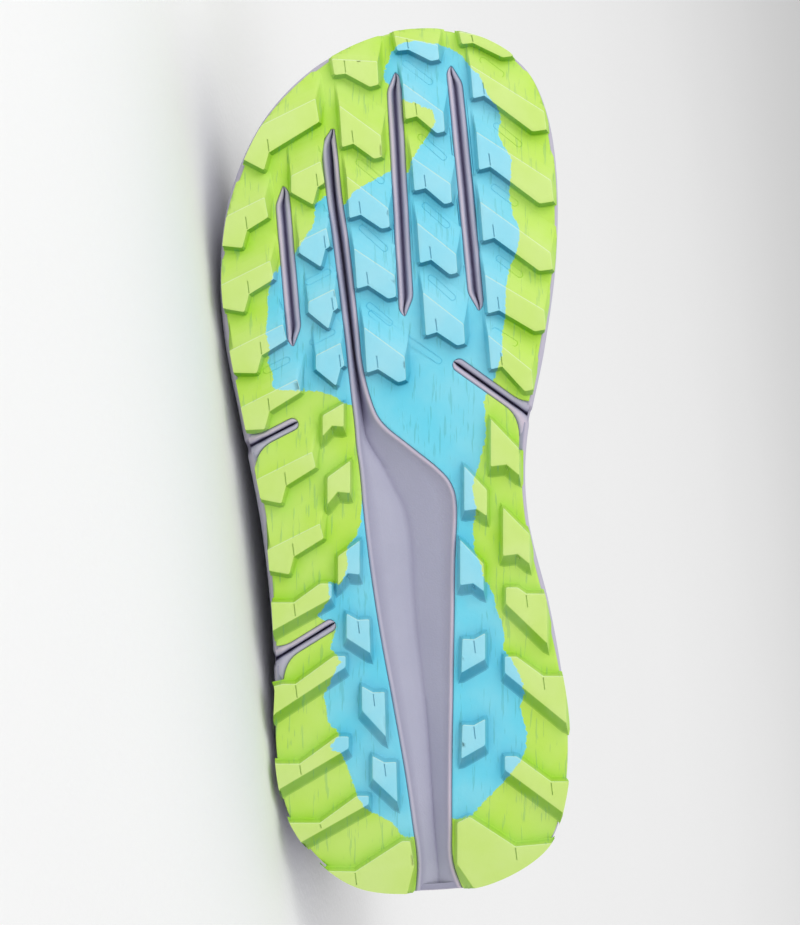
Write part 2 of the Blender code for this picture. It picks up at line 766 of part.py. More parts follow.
def midsole(material):
    """Foam sole: a flared and stepped side, a lip round the upper, grooves underneath."""
    floor = LUG_HEIGHT + SHEET + CLEARANCE
    rings = [[(*inset(place, rim(place)), floor) for place in ray_places()]]
    for height, share in SIDE_RINGS:
        ring = []
        for place in ray_places():
            far_in = feather(place) - LIP_WALL - CLEARANCE
            point = inset(place, share * far_in)
            top = footbed(inset(place, feather(place))[0]) + LIP_HEIGHT
            ring.append((*point, floor + (top - floor) * height))
        rings.append(ring)
    inner = [inset(place, feather(place) - CLEARANCE) for place in ray_places()]
    rings.append([(*point, footbed(point[0]) + LIP_HEIGHT) for point in inner])
    rings.append([(*point, footbed(point[0])) for point in inner])
    mesh = rings_mesh(rings)
    grooves = joined(groove_cutters(GROOVE_FOAM_SHARE, floor - CLEARANCE, floor + GROOVE_DEPTH, True))
    mesh = boolean(mesh, grooves, "DIFFERENCE")
    channel = channel_cutter(floor - CLEARANCE, floor + CHANNEL_DEPTH, True)
    mesh = boolean(mesh, channel, "DIFFERENCE")
    return node("midsole", bent(mesh, bend_stations(STATION_SPACING)), material)


def insole(material):
    """Loose footbed between the walls of the upper."""
    wall = UPPER_WALL + CLEARANCE

    def ring(extra, height):
        points = [inset(place, feather(place) + wall + extra) for place in ray_places()]
        return [(*p, ground(p[0]) + footbed(p[0]) + CLEARANCE + height) for p in points]

    rings = [ring(0, 0), ring(0, INSOLE - INSOLE_BEVEL), ring(INSOLE_BEVEL, INSOLE)]
    return node("insole", rings_mesh(rings), material)


def throat_share(pair):
    """Way along the throat of a pair of eyelets, from the toe tip's place to the top eyelets."""
    return EYELET_START + EYELET_SPAN * (pair / (EYELET_PAIRS - 1)) ** 0.7


def eyelet_places():
    """Place and level of each eyelet, pair by pair from the toe end of the throat."""
    pairs = []
    for i in range(EYELET_PAIRS):
        places = [TOE_PLACE + (top - TOE_PLACE) * throat_share(i) for top in THROAT_TOP]
        pairs.append([(place, level_below_top(place, EYELET_INSET)) for place in places])
    return pairs


def eyelet_cutters():
    """One eight-sided cutter for each eyelet, square to the upper."""
    cutters = []
    for pair in eyelet_places():
        for place, level in pair:
            axis = Vector(upper_normal(place, level))
            first = axis.orthogonal().normalized()
            second = axis.cross(first)
            centre = Vector(upper_point(place, level))
            points = []
            for reach in (-2 * UPPER_WALL, 3 * UPPER_WALL):
                for i in range(EYELET_SIDES):
                    turn = 2 * math.pi * i / EYELET_SIDES
                    spoke = first * math.cos(turn) + second * math.sin(turn)
                    points.append(centre + axis * reach + spoke * EYELET_RADIUS)
            faces = [tuple(range(EYELET_SIDES)), tuple(range(EYELET_SIDES, 2 * EYELET_SIDES))]
            for i in range(EYELET_SIDES):
                j = (i + 1) % EYELET_SIDES
                faces.append((i, j, EYELET_SIDES + j, EYELET_SIDES + i))
            cutters.append(mesh_from(points, faces))
    return joined(cutters)


def upper(material):
    """One hollow wall from the sole to the top line, padded round the collar."""
    levels = [0.0, *np.linspace(FEATHER_PLACE, 1.0, RAY_STEPS)]
    outside, inside = [], []
    for level in levels:
        outside.append([upper_point(place, level) for place in ray_places()])
        inside.append([
            off_upper(place, level, -UPPER_WALL - padding(place, level)) for place in ray_places()
        ])
    mesh = rings_mesh(outside + inside[::-1], closed=True)
    mesh = boolean(triangulated(mesh), eyelet_cutters(), "DIFFERENCE")
    return node("upper", mesh, material)


def shell(grid, gap, wall):
    """Closed skin of even wall over a grid of points, a gap away from it."""
    grid = np.array(grid)
    across = np.gradient(grid, axis=0)
    along = np.gradient(grid, axis=1)
    normals = np.cross(across, along)
    normals /= np.linalg.norm(normals, axis=2)[:, :, None]
    rows, columns = grid.shape[:2]
    layers = [grid + normals * gap, grid + normals * (gap + wall)]
    points = np.concatenate([layer.reshape(-1, 3) for layer in layers])
    size = rows * columns
    faces = []
    for i in range(rows - 1):
        for j in range(columns - 1):
            a, b = i * columns + j, (i + 1) * columns + j
            faces.append((a, a + 1, b + 1, b))
            faces.append((size + a, size + b, size + b + 1, size + a + 1))
    border = list(range(columns))
    border += [i * columns + columns - 1 for i in range(1, rows)]
    border += [(rows - 1) * columns + j for j in range(columns - 2, -1, -1)]
    border += [i * columns for i in range(rows - 2, 0, -1)]
    for a, b in zip(border, border[1:] + border[:1]):
        faces.append((a, size + a, size + b, b))
    return mesh_from(points, faces)


def overlay_grid(start, end, steps, low, high, levels):
    """Points of the upper between two places round it and two levels on each ray."""
    grid = []
    for place in np.linspace(start, end, steps):
        bottom, top = low(place), high(place)
        grid.append([upper_point(place, level) for level in np.linspace(bottom, top, levels)])
    return grid


def above_lip(place):
    return level_at_height(place, lip_top(place) + OVERLAY_REST)


def eyestay(material):
    """Band round the throat that carries the eyelets."""
    lateral, medial = THROAT_TOP
    grid = overlay_grid(
        lateral, medial, EYESTAY_STEPS,
        lambda place: level_below_top(place, EYESTAY_WIDTH),
        lambda place: level_below_top(place, EYESTAY_SETBACK), 3,
    )
    band = triangulated(shell(grid, OVERLAY_GAP, OVERLAY_WALL))
    mesh = boolean(band, eyelet_cutters(), "DIFFERENCE")
    return node("eyestay", mesh, material)


def heel_counter(material):
    """Moulded cup round the heel, highest at the back."""
    def top(place):
        from_heel = min(place % PLACES, PLACES - place % PLACES) / COUNTER_REACH
        height = COUNTER_HEIGHT * (1 - COUNTER_FALL * from_heel**2)
        return level_at_height(place, lip_top(place) + height)

    grid = overlay_grid(-COUNTER_REACH, COUNTER_REACH, COUNTER_STEPS, above_lip, top, 5)
    return node("heel_counter", shell(grid, OVERLAY_GAP, OVERLAY_WALL), material)


def toe_cap(material):
    """Rubber bumper that climbs from the front of the midsole onto the upper."""
    grid = []
    for place in np.linspace(TOE_PLACE - TOE_CAP_REACH, TOE_PLACE + TOE_CAP_REACH, TOE_CAP_STEPS):
        far_in = feather(place) - LIP_WALL - CLEARANCE
        floor = LUG_HEIGHT + SHEET + CLEARANCE
        column = []
        for height, share in SIDE_RINGS:
            point = inset(place, share * far_in)
            top = footbed(inset(place, feather(place))[0]) + LIP_HEIGHT
            column.append((*point, ground(point[0]) + floor + (top - floor) * height))
        swell = 1 - 0.5 * (abs(place - TOE_PLACE) / TOE_CAP_REACH) ** 2
        bottom = level_at_height(place, lip_top(place) + 1.5 * OVERLAY_REST)
        top = level_below_top(place, ray_length(place) - LIP_HEIGHT - TOE_CAP_HEIGHT * swell)
        column.extend(upper_point(place, level) for level in np.linspace(bottom, top, 4))
        grid.append(column)
    return node("toe_cap", shell(grid, OVERLAY_GAP, OVERLAY_WALL), material)


def tongue_section(share):
    """Outer line of the tongue across the throat: share 0 at the toe end, 1 at the top eyelets."""
    way = TONGUE_START + (1 - TONGUE_START) * share
    lateral, medial = [TOE_PLACE + (top - TOE_PLACE) * way for top in THROAT_TOP]
    sink = -UPPER_WALL - TONGUE_CLEARANCE
    wing_width = TONGUE_WING * (0.5 + 0.5 * smooth(share * 2))
    points = [off_upper(lateral, level_below_top(lateral, d), sink)
              for d in (wing_width, 0.5 * wing_width, 0.001)]
    other = [off_upper(medial, level_below_top(medial, d), sink)
             for d in (0.001, 0.5 * wing_width, wing_width)]
    left, right = points[-1], other[0]
    lift = upper_normal(lateral, 1.0) + upper_normal(medial, 1.0)
    lift = lift / np.linalg.norm(lift) * TONGUE_CROWN
    for s in (0.25, 0.5, 0.75):
        points.append(left + (right - left) * s + lift * math.sin(math.pi * s) * min(1, 3 * share))
    return points + other


def tongue(material):
    """Padded tongue from under the vamp to above the top eyelets."""
    sections = [tongue_section(share) for share in np.linspace(0.0, 1.0, 9)]
    last, before = np.array(sections[-1]), np.array(sections[-2])
    way = (last - before).mean(axis=0)
    way = way / np.linalg.norm(way)
    middle = last.mean(axis=0)
    for share in (0.35, 0.7, 1.0):
        rise = way + np.array([0.0, 0.0, 0.25 * share])
        narrow = 1 - TONGUE_TAPER * share**0.4
        sections.append(middle + (last - middle) * narrow + rise * TONGUE_RISE * share)
    return node("tongue", shell(sections, 0.0, TONGUE_WALL), material)


def lace_bar(route, first, last):
    """Flat lace along a route, gathered at its two ends and square to the normals there."""
    corners = []
    for i in range(LACE_STEPS + 1):
        s = i / LACE_STEPS
        point = through(route, s)
        way = through(route, min(s + 0.05, 1)) - through(route, max(s - 0.05, 0))
        normal = first * (1 - s) + last * s
        normal -= way * (normal @ way) / (way @ way)
        normal /= np.linalg.norm(normal)
        side = np.cross(normal, way)
        spread = LACE_GATHER + (1 - LACE_GATHER) * smooth(3 * min(s, 1 - s))
        side = side / np.linalg.norm(side) * LACE_WIDTH / 2 * spread
        lift = normal * LACE_THICK / 2
        corners.extend(point + corner for corner in (-side - lift, side - lift, side + lift, lift - side))
    faces = [(0, 1, 2, 3), tuple(range(4 * LACE_STEPS, 4 * LACE_STEPS + 4))]
    for row in range(LACE_STEPS):
        for i in range(4):
            j = (i + 1) % 4
            faces.append((4 * row + i, 4 * row + j, 4 * row + 4 + j, 4 * row + 4 + i))
    return triangulated(mesh_from(corners, faces))


def through(route, share):
    """Point on the smooth curve through a route's points."""
    row = min(int(share * (len(route) - 1)), len(route) - 2)
    s = share * (len(route) - 1) - row
    low, high = route[row], route[row + 1]
    before = route[row - 1] if row else 2 * low - high
    after = route[row + 2] if row + 2 < len(route) else 2 * high - low
    return low + 0.5 * s * (high - before + s * (
        2 * before - 5 * low + 4 * high - after + s * (3 * (low - high) + after - before)
    ))


def lace_landing(pair, side, heelward):
    """Points of a lace above an eyelet and above the edge of the throat, and the normal there."""
    place, level = eyelet_places()[pair][side]
    above = OVERLAY_GAP + OVERLAY_WALL + CLEARANCE + LACE_THICK
    to_heel = 0.1 if side else -0.1
    way = upper_point(place + to_heel, level) - upper_point(place, level)
    shift = LACE_WIDTH * (LACE_GATHER / 2 + LACE_APART) * heelward
    point = off_upper(place, level, above) + way / np.linalg.norm(way) * shift
    edge_place = place + LACE_SLANT * to_heel * heelward
    edge_point = off_upper(edge_place, level_below_top(edge_place, EYESTAY_SETBACK), above)
    return point, edge_point, upper_normal(place, level)


def lace_over_tongue(low, high, extra):
    """Lace from an eyelet of one pair to an eyelet of the same or the next pair."""
    start, leaving, first = lace_landing(*low, 1 if high[0] > low[0] else -1)
    end, arriving, last = lace_landing(*high, -1)
    share = (throat_share(low[0]) + throat_share(high[0])) / 2
    section = tongue_section((share - TONGUE_START) / (1 - TONGUE_START))
    crown = section[len(section) // 2]
    up = (first + last) / np.linalg.norm(first + last)
    middle = (leaving + arriving) / 2
    lift = max((crown - middle) @ up + LACE_THICK + CLEARANCE, LACE_THICK) + extra
    return lace_bar([start, leaving, middle + up * lift, arriving, end], first, last)


def laces(material):
    """Straight bar at the toe end of the throat and a crossing for each further pair."""
    bars = [node("lace_1", lace_over_tongue((0, 0), (0, 1), 0.0), material)]
    for i in range(1, EYELET_PAIRS):
        under = lace_over_tongue((i - 1, 0), (i, 1), 0.0)
        over = lace_over_tongue((i - 1, 1), (i, 0), LACE_THICK / 2)
        crossing = boolean(under, over, "UNION", crossing=False)
        bars.append(node(f"lace_{i + 1}", crossing, material))
    return bars


def world_points(part):
    return np.array([part.matrix_world @ vertex.co for vertex in part.data.vertices])


def centre_of_mass(parts, densities):
    """Centre of mass of solids, each with the density of its material."""
    total, weighted = 0.0, np.zeros(3)
    for part, density in zip(parts, densities):
        shape = bmesh.new()
        shape.from_mesh(part.data)
        bmesh.ops.triangulate(shape, faces=shape.faces)
        for face in shape.faces:
            a, b, c = (np.array(vertex.co) for vertex in face.verts)
            volume = a @ np.cross(b, c) / 6 * density
            total += volume
            weighted += volume * (a + b + c) / 4
        shape.free()
    return weighted / total


def lateral_support(parts, centre):
    """Normal of the flat side that the shoe rests on when it lies on its lateral side."""
    shape = bmesh.new()
    for part in parts:
        for point in world_points(part):
            shape.verts.new(point)
    bmesh.ops.convex_hull(shape, input=shape.verts)
    faces = [face for face in shape.faces if face.normal.y < -0.8]
    centre = Vector(centre)
    steady = []
    for face in faces:
        distance = (face.verts[0].co - centre).dot(face.normal)
        foot = centre + face.normal * distance
        corners = [vertex.co for vertex in face.verts]
        turns = [
            (b - a).cross(foot - a).dot(face.normal)
            for a, b in zip(corners, corners[1:] + corners[:1])
        ]
        steady.append((min(turns) < 0, distance, tuple(face.normal)))
    shape.free()
    return np.array(min(steady)[2])


def lying_pose(parts, densities):
    """Turn that lays the shoe on its lateral side, and the point that becomes the origin."""
    down = lateral_support(parts, centre_of_mass(parts, densities))
    up = -down
    back = -np.array([1.0, 0.0, 0.0])
    back = back - up * (back @ up)
    back /= np.linalg.norm(back)
    turn = np.array([back, np.cross(up, back), up])
    box = np.concatenate([world_points(part) @ turn.T for part in parts])
    low, high = box.min(axis=0), box.max(axis=0)
    return turn, np.array([(low[0] + high[0]) / 2, (low[1] + high[1]) / 2, low[2]])


def lay_down(parts, turn, origin):
    for part in parts:
        for vertex, point in zip(part.data.vertices, world_points(part) @ turn.T - origin):
            vertex.co = point
        part.data.update()


def main():
    for item in list(bpy.data.objects):
        bpy.data.objects.remove(item)
    rubber = principled("rubber", (0.38, 0.60, 0.03), 0.55)
    foam = principled("foam", (0.48, 0.47, 0.55), 0.70)
    mesh = principled("mesh", (0.035, 0.037, 0.042), 0.85)
    film = principled("film", (0.06, 0.065, 0.07), 0.50)
    lining = principled("lining", (0.08, 0.09, 0.10), 0.90)
    cord = principled("cord", (0.30, 0.50, 0.03), 0.75)
    parts = [
        outsole(rubber),
        midsole(foam),
        insole(lining),
        upper(mesh),
        tongue(lining),
        eyestay(film),
        heel_counter(film),
        toe_cap(rubber),
        *laces(cord),
    ]
    densities = [RUBBER_DENSITY, FOAM_DENSITY, INSOLE_DENSITY, UPPER_DENSITY, TONGUE_DENSITY,
                 OVERLAY_DENSITY, OVERLAY_DENSITY, RUBBER_DENSITY] + [LACE_DENSITY] * EYELET_PAIRS
    bpy.context.view_layer.update()
    lay_down(parts, *lying_pose(parts, densities))
    return parts


main()
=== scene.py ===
"""Looks of the trail running shoe that lies on its lateral side.

The shoe is worked out in its own frame: X from heel to toe, Y towards the medial side, Z up from
the plane of the tread, in metres. to_row() lays it on its side, where the solids lie.

Places round the foot are counted in rows of OUTLINE, from 0 at the back of the heel, along the
lateral side to 15 at the tip of the toe, and back along the medial side to 30.
"""

import json
import math

import bmesh
import bpy
import numpy as np
from mathutils import Matrix, Vector
from mathutils.bvhtree import BVHTree
from mathutils.geometry import delaunay_2d_cdt


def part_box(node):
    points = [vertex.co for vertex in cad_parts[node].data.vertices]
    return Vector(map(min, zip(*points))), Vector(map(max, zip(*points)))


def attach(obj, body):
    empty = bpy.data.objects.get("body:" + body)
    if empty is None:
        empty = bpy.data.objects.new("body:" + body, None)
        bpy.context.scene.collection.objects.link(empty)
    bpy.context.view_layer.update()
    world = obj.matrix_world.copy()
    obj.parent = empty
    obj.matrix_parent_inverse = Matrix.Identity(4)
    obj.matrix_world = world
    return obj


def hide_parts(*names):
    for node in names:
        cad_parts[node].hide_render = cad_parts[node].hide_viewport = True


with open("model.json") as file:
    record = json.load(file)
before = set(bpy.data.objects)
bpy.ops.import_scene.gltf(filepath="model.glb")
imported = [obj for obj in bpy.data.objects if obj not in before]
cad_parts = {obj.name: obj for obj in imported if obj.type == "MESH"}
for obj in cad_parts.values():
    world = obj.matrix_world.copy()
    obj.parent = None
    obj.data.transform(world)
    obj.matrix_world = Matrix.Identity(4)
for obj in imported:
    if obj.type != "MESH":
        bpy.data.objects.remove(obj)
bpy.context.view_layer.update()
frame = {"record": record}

# Main sizes
LENGTH = 0.300
BALL_WIDTH = 0.1155
INSTEP_HEIGHT = 0.106
STACK = 0.030
TOE_SPRING = 0.012
HEEL_BEVEL = 0.006
TOE_BREAK = 0.66
HEEL_BREAK = 0.15
TOE_THINNING = 0.26
CLEARANCE = 0.0003

# Outsole
LUG_HEIGHT = 0.0036
LUG_RAMP = 0.0022
LUG_PROUD = 0.0008
SHEET = 0.0020
WING_NOTCH = 0.0048
WING_LEAN = 0.0010
WING_TOE_SIDE = 1.03
WING_HEEL_SIDE = 0.84
WING_OUTER_FALL = 1.1
WING_KNEE_RISE = 0.92
HOOK_DEPTH = 0.0060
HOOK_STEP = 0.0013
HOOK_TIP = 0.0003
TOOTH_KNEE = 0.55
TOOTH_KNEE_RISE = 0.96
ARROW_RISE = 0.25
ARROW_CREASE = 0.1
ARROW_LEAN = 0.05
BLADE_TIP = 0.0040

# Midsole
LIP_HEIGHT = 0.0070
LIP_WALL = 0.0017
GROOVE_DEPTH = 0.0045

# Upper and what is fixed to it
UPPER_WALL = 0.0020
FEATHER_RISE = LIP_HEIGHT + 5 * CLEARANCE
COLLAR_PAD = 0.0045
PAD_START = 0.45
PAD_SWELL = 0.3
PAD_ROLL = 0.85
PAD_THINNED = 0.6
OVERLAY_WALL = 0.0011
OVERLAY_GAP = 0.00045
OVERLAY_REST = 4 * CLEARANCE
EYESTAY_WIDTH = 0.019
EYESTAY_SETBACK = 0.0020
EYELET_RADIUS = 0.0023
EYELET_INSET = 0.0085
EYELET_PAIRS = 6
EYELET_START = 0.33
EYELET_SPAN = 0.62
TONGUE_START = 0.12
COUNTER_HEIGHT = 0.034
TOE_CAP_HEIGHT = 0.030
TOE_CAP_REACH = 1.7
TOE_CAP_WALL = 0.0012
COUNTER_REACH = 4.6
COUNTER_FALL = 0.55
UPPER_LEAN_IN = 0.1

# Inside and lacing
INSOLE = 0.0045
INSOLE_BEVEL = 0.0010
TONGUE_WALL = 0.0045
TONGUE_CLEARANCE = 0.0011
TONGUE_CROWN = 0.0030
TONGUE_WING = 0.014
TONGUE_RISE = 0.018
TONGUE_TAPER = 0.20
LACE_WIDTH = 0.0058
LACE_THICK = 0.0014
LACE_GATHER = 0.45
LACE_APART = 0.16
LACE_SLANT = 4.5
LACE_STEP = 0.1

PLACES = 30.0
TOE_PLACE = 15.0
RAYS = 66
RAY_PARTS = 13
BORDER_STEP = 0.1
MILLI = 1000
WELD = 0.00005

# Sole seen from below. along is a share of LENGTH from the heel; across a share of BALL_WIDTH,
# positive to the medial side; rim is how far the foam stands out past the rubber, and feather how
# far inside the edge the upper meets the sole, both shares of BALL_WIDTH.
OUTLINE = [
    (0.011, 0.067, 0.008, 0.078),
    (0.019, -0.112, 0.000, 0.084),
    (0.052, -0.241, 0.000, 0.087),
    (0.106, -0.325, -0.006, 0.087),
    (0.180, -0.364, 0.000, 0.084),
    (0.253, -0.372, 0.011, 0.078),
    (0.338, -0.384, 0.014, 0.067),
    (0.437, -0.415, 0.022, 0.056),
    (0.545, -0.471, 0.020, 0.053),
    (0.637, -0.518, 0.020, 0.053),
    (0.717, -0.532, 0.014, 0.053),
    (0.800, -0.507, 0.017, 0.050),
    (0.884, -0.417, 0.017, 0.046),
    (0.946, -0.275, 0.017, 0.046),
    (0.981, -0.112, 0.008, 0.046),
    (0.993, 0.062, 0.000, 0.046),
    (0.985, 0.230, 0.004, 0.046),
    (0.955, 0.364, 0.011, 0.046),
    (0.903, 0.434, 0.014, 0.050),
    (0.827, 0.465, 0.014, 0.053),
    (0.729, 0.462, 0.011, 0.053),
    (0.627, 0.427, 0.018, 0.048),
    (0.524, 0.376, 0.014, 0.042),
    (0.437, 0.380, 0.012, 0.050),
    (0.340, 0.441, 0.015, 0.070),
    (0.260, 0.479, 0.008, 0.081),
    (0.194, 0.496, 0.003, 0.087),
    (0.121, 0.487, 0.006, 0.087),
    (0.061, 0.434, 0.011, 0.087),
    (0.021, 0.269, 0.011, 0.084),
]

# Side of the midsole from its lower edge to its lip: height as a share of its own height, and how
# far in it lies as a share of the way from the widest line to the top of the lip.
SIDE_RINGS = [
    (0.14, 0.05),
    (0.32, 0.00),
    (0.52, 0.16),
    (0.57, 0.42),
    (0.80, 0.62),
    (1.00, 1.00),
]

# Flex groove and open channel down the middle of the tread: along, lateral edge, medial edge.
CHANNEL = [
    (0.879, -0.204, -0.193),
    (0.857, -0.230, -0.185),
    (0.805, -0.218, -0.171),
    (0.753, -0.199, -0.151),
    (0.701, -0.182, -0.135),
    (0.649, -0.165, -0.120),
    (0.610, -0.154, -0.109),
    (0.571, -0.143, -0.084),
    (0.545, -0.135, -0.050),
    (0.519, -0.129, 0.031),
    (0.493, -0.120, 0.115),
    (0.474, -0.115, 0.154),
    (0.448, -0.109, 0.168),
    (0.390, -0.092, 0.163),
    (0.312, -0.062, 0.160),
    (0.234, -0.025, 0.157),
    (0.156, 0.011, 0.154),
    (0.091, 0.036, 0.154),
    (0.043, 0.050, 0.160),
    (-0.010, 0.040, 0.215),
]

# Straight grooves through the rubber: along and across at each end, width. The last three are
# the notches, which run out through the edge of the sole.
GROOVES = [
    (0.815, -0.350, 0.630, -0.308, 0.045),
    (0.946, -0.020, 0.664, 0.020, 0.045),
    (0.954, 0.157, 0.670, 0.227, 0.045),
    (0.610, 0.174, 0.540, 0.430, 0.040),
    (0.543, -0.317, 0.505, -0.510, 0.038),
    (0.315, -0.207, 0.262, -0.430, 0.038),
]

# Forefoot chevrons in three columns: along and across of the high inner corner; width; drop of
# the outer corner; height of the inner and of the outer end.
WINGS = [
    (0.991, 0.174, 0.154, 0.013, 0.015, 0.016),
    (0.952, 0.207, 0.218, 0.054, 0.039, 0.021),
    (0.875, 0.224, 0.221, 0.056, 0.044, 0.024),
    (0.795, 0.235, 0.207, 0.058, 0.045, 0.019),
    (0.712, 0.249, 0.174, 0.040, 0.044, 0.022),
    (0.644, 0.258, 0.129, 0.040, 0.039, 0.022),
    (0.986, -0.017, 0.129, 0.011, 0.018, 0.017),
    (0.931, 0.008, 0.120, 0.034, 0.042, 0.022),
    (0.846, 0.034, 0.115, 0.031, 0.039, 0.021),
    (0.771, 0.050, 0.115, 0.036, 0.046, 0.021),
    (0.692, 0.067, 0.120, 0.036, 0.049, 0.022),
    (0.959, -0.202, 0.135, 0.003, 0.019, 0.027),
    (0.905, -0.179, 0.123, 0.035, 0.048, 0.024),
    (0.824, -0.157, 0.123, 0.037, 0.048, 0.021),
    (0.742, -0.135, 0.120, 0.031, 0.046, 0.024),
    (0.653, -0.106, 0.120, 0.034, 0.052, 0.026),
]

# Hooked lateral lugs: along and across of the inner top corner; thickness; length of the straight
# arm; reach to the outer end; height of that end.
HOOKS = [
    (0.913, -0.249, 0.027, 0.148, 0.215, 0.028),
    (0.800, -0.398, 0.023, 0.062, 0.135, 0.029),
    (0.728, -0.381, 0.021, 0.073, 0.160, 0.022),
    (0.656, -0.344, 0.018, 0.073, 0.185, 0.019),
    (0.594, -0.302, 0.015, 0.092, 0.190, 0.022),
    (0.841, -0.233, 0.025, 0.020, 0.087, 0.019),
    (0.765, -0.216, 0.021, 0.014, 0.080, 0.013),
    (0.696, -0.193, 0.022, 0.014, 0.076, 0.012),
    (0.635, -0.174, 0.026, 0.011, 0.073, 0.016),
    (0.512, -0.258, 0.018, 0.087, 0.180, 0.017),
    (0.431, -0.235, 0.017, 0.087, 0.172, 0.019),
]
HOOK_SLOPE = 0.50
HOOK_ARM_SLOPE = 0.62

# Short midfoot lugs: along and across of the high corner; width; drop; tall and short side; side
# of the high corner that the lug lies on, 1 for medial.
TEETH = [
    (0.567, -0.165, 0.062, 0.014, 0.027, 0.024, -1),
    (0.502, -0.146, 0.067, 0.019, 0.037, 0.031, -1),
    (0.412, -0.118, 0.064, 0.018, 0.039, 0.033, -1),
    (0.549, 0.266, 0.084, 0.034, 0.054, 0.030, 1),
    (0.449, 0.302, 0.078, 0.030, 0.055, 0.034, 1),
    (0.496, 0.188, 0.067, 0.027, 0.051, 0.030, 1),
    (0.413, 0.176, 0.070, 0.028, 0.052, 0.031, 1),
]

# Small lugs beside the channel: along and across of the corner at the channel; width; long and
# short side; side that the lug lies on.
ARROWS = [
    (0.323, -0.090, 0.067, 0.039, 0.028, -1),
    (0.241, -0.045, 0.067, 0.051, 0.028, -1),
    (0.162, -0.011, 0.070, 0.046, 0.026, -1),
    (0.301, 0.183, 0.067, 0.039, 0.030, 1),
    (0.204, 0.183, 0.067, 0.039, 0.030, 1),
]

# Heel blades along the edge: along and across of the outer top corner; flat part; run of the
# rising part; height of the inner tip and of the outer end; side of the shoe.
BLADES = [
    (0.342, -0.390, 0.079, 0.076, 0.017, 0.036, -1),
    (0.250, -0.390, 0.084, 0.112, 0.013, 0.040, -1),
    (0.160, -0.378, 0.084, 0.109, 0.014, 0.035, -1),
    (0.093, -0.341, 0.106, 0.109, 0.010, 0.034, -1),
    (0.352, 0.432, 0.062, 0.025, 0.019, 0.057, 1),
    (0.259, 0.488, 0.068, 0.078, 0.019, 0.054, 1),
    (0.140, 0.502, 0.059, 0.101, 0.016, 0.043, 1),
]
BLADE_RISE = 0.73

# The two plates at the back of the heel, corner by corner: along, across.
HEEL_PLATES = [
    [(0.038, -0.260), (0.037, -0.132), (0.072, 0.006), (0.072, 0.030), (0.043, 0.042),
     (0.008, 0.020), (-0.008, -0.006), (-0.008, -0.090), (0.012, -0.230)],
    [(0.093, 0.168), (0.100, 0.204), (0.066, 0.339), (0.071, 0.480), (0.046, 0.440),
     (0.006, 0.280), (0.012, 0.226), (0.045, 0.168)],
]

# Upper, ray by ray: place round the foot; along and across of its upper end; height of that end
# as a share of INSTEP_HEIGHT; outward lean of the wall above the sole as a share of BALL_WIDTH;
# rise of that wall as a share of the ray's height; shoulder and fall of the ray below its upper
# end, shares of BALL_WIDTH.
UPPER = [
    (0.0, 0.050, 0.075, 0.955, 0.050, 0.38, 0.009, 0.193),
    (2.0, 0.085, -0.110, 0.910, 0.040, 0.40, 0.026, 0.193),
    (4.0, 0.170, -0.200, 0.800, 0.026, 0.45, 0.070, 0.150),
    (5.3, 0.250, -0.225, 0.795, 0.026, 0.45, 0.070, 0.140),
    (6.3, 0.325, -0.215, 0.895, 0.026, 0.50, 0.080, 0.155),
    (7.0, 0.370, -0.200, 0.980, 0.026, 0.50, 0.105, 0.155),
    (8.5, 0.470, -0.165, 0.885, 0.018, 0.55, 0.175, 0.105),
    (10.5, 0.570, -0.120, 0.765, 0.009, 0.60, 0.330, 0.055),
    (13.0, 0.625, -0.060, 0.695, 0.000, 0.70, 0.490, 0.045),
    (15.0, 0.640, 0.015, 0.675, 0.000, 0.75, 0.540, 0.045),
    (17.0, 0.625, 0.090, 0.700, 0.000, 0.70, 0.490, 0.045),
    (19.3, 0.570, 0.150, 0.775, 0.018, 0.62, 0.315, 0.055),
    (21.2, 0.470, 0.185, 0.905, 0.090, 0.50, 0.140, 0.105),
    (22.8, 0.370, 0.200, 1.000, 0.140, 0.45, 0.088, 0.155),
    (23.6, 0.325, 0.225, 0.925, 0.090, 0.45, 0.075, 0.155),
    (24.8, 0.250, 0.270, 0.820, 0.035, 0.45, 0.070, 0.140),
    (26.2, 0.170, 0.285, 0.830, 0.030, 0.45, 0.070, 0.140),
    (28.0, 0.085, 0.230, 0.915, 0.040, 0.40, 0.026, 0.193),
]
THROAT_TOP = (7.0, 22.8)
FEATHER_PLACE = 0.12


def plan(along, across):
    """Point on the plan of the sole, from shares of its length and ball width."""
    return np.array([along * LENGTH, across * BALL_WIDTH])


def smooth(value):
    """Smooth step from 0 to 1, for one value or many."""
    value = np.clip(value, 0.0, 1.0)
    return value * value * (3 - 2 * value)


def loop_curve(table):
    """Smooth closed curve through rows whose first column is the place round the foot."""
    knots = [row[0] for row in table]
    rows = [np.array(row[1:]) for row in table]
    count = len(rows)

    def at(place):
        place %= PLACES
        low = max(i for i in range(count) if knots[i] <= place)
        high = (low + 1) % count
        span = (knots[high] - knots[low]) % PLACES
        lead = (knots[low] - knots[low - 1]) % PLACES
        tail = (knots[(high + 1) % count] - knots[high]) % PLACES
        leaving = (rows[high] - rows[low - 1]) / (lead + span) * span
        arriving = (rows[(high + 1) % count] - rows[low]) / (span + tail) * span
        s = (place - knots[low]) / span
        return (
            (2 * s**3 - 3 * s**2 + 1) * rows[low]
            + (s**3 - 2 * s**2 + s) * leaving
            + (3 * s**2 - 2 * s**3) * rows[high]
            + (s**3 - s**2) * arriving
        )

    return at


outline_at = loop_curve([(place, *row) for place, row in enumerate(OUTLINE)])
upper_at = loop_curve(UPPER)


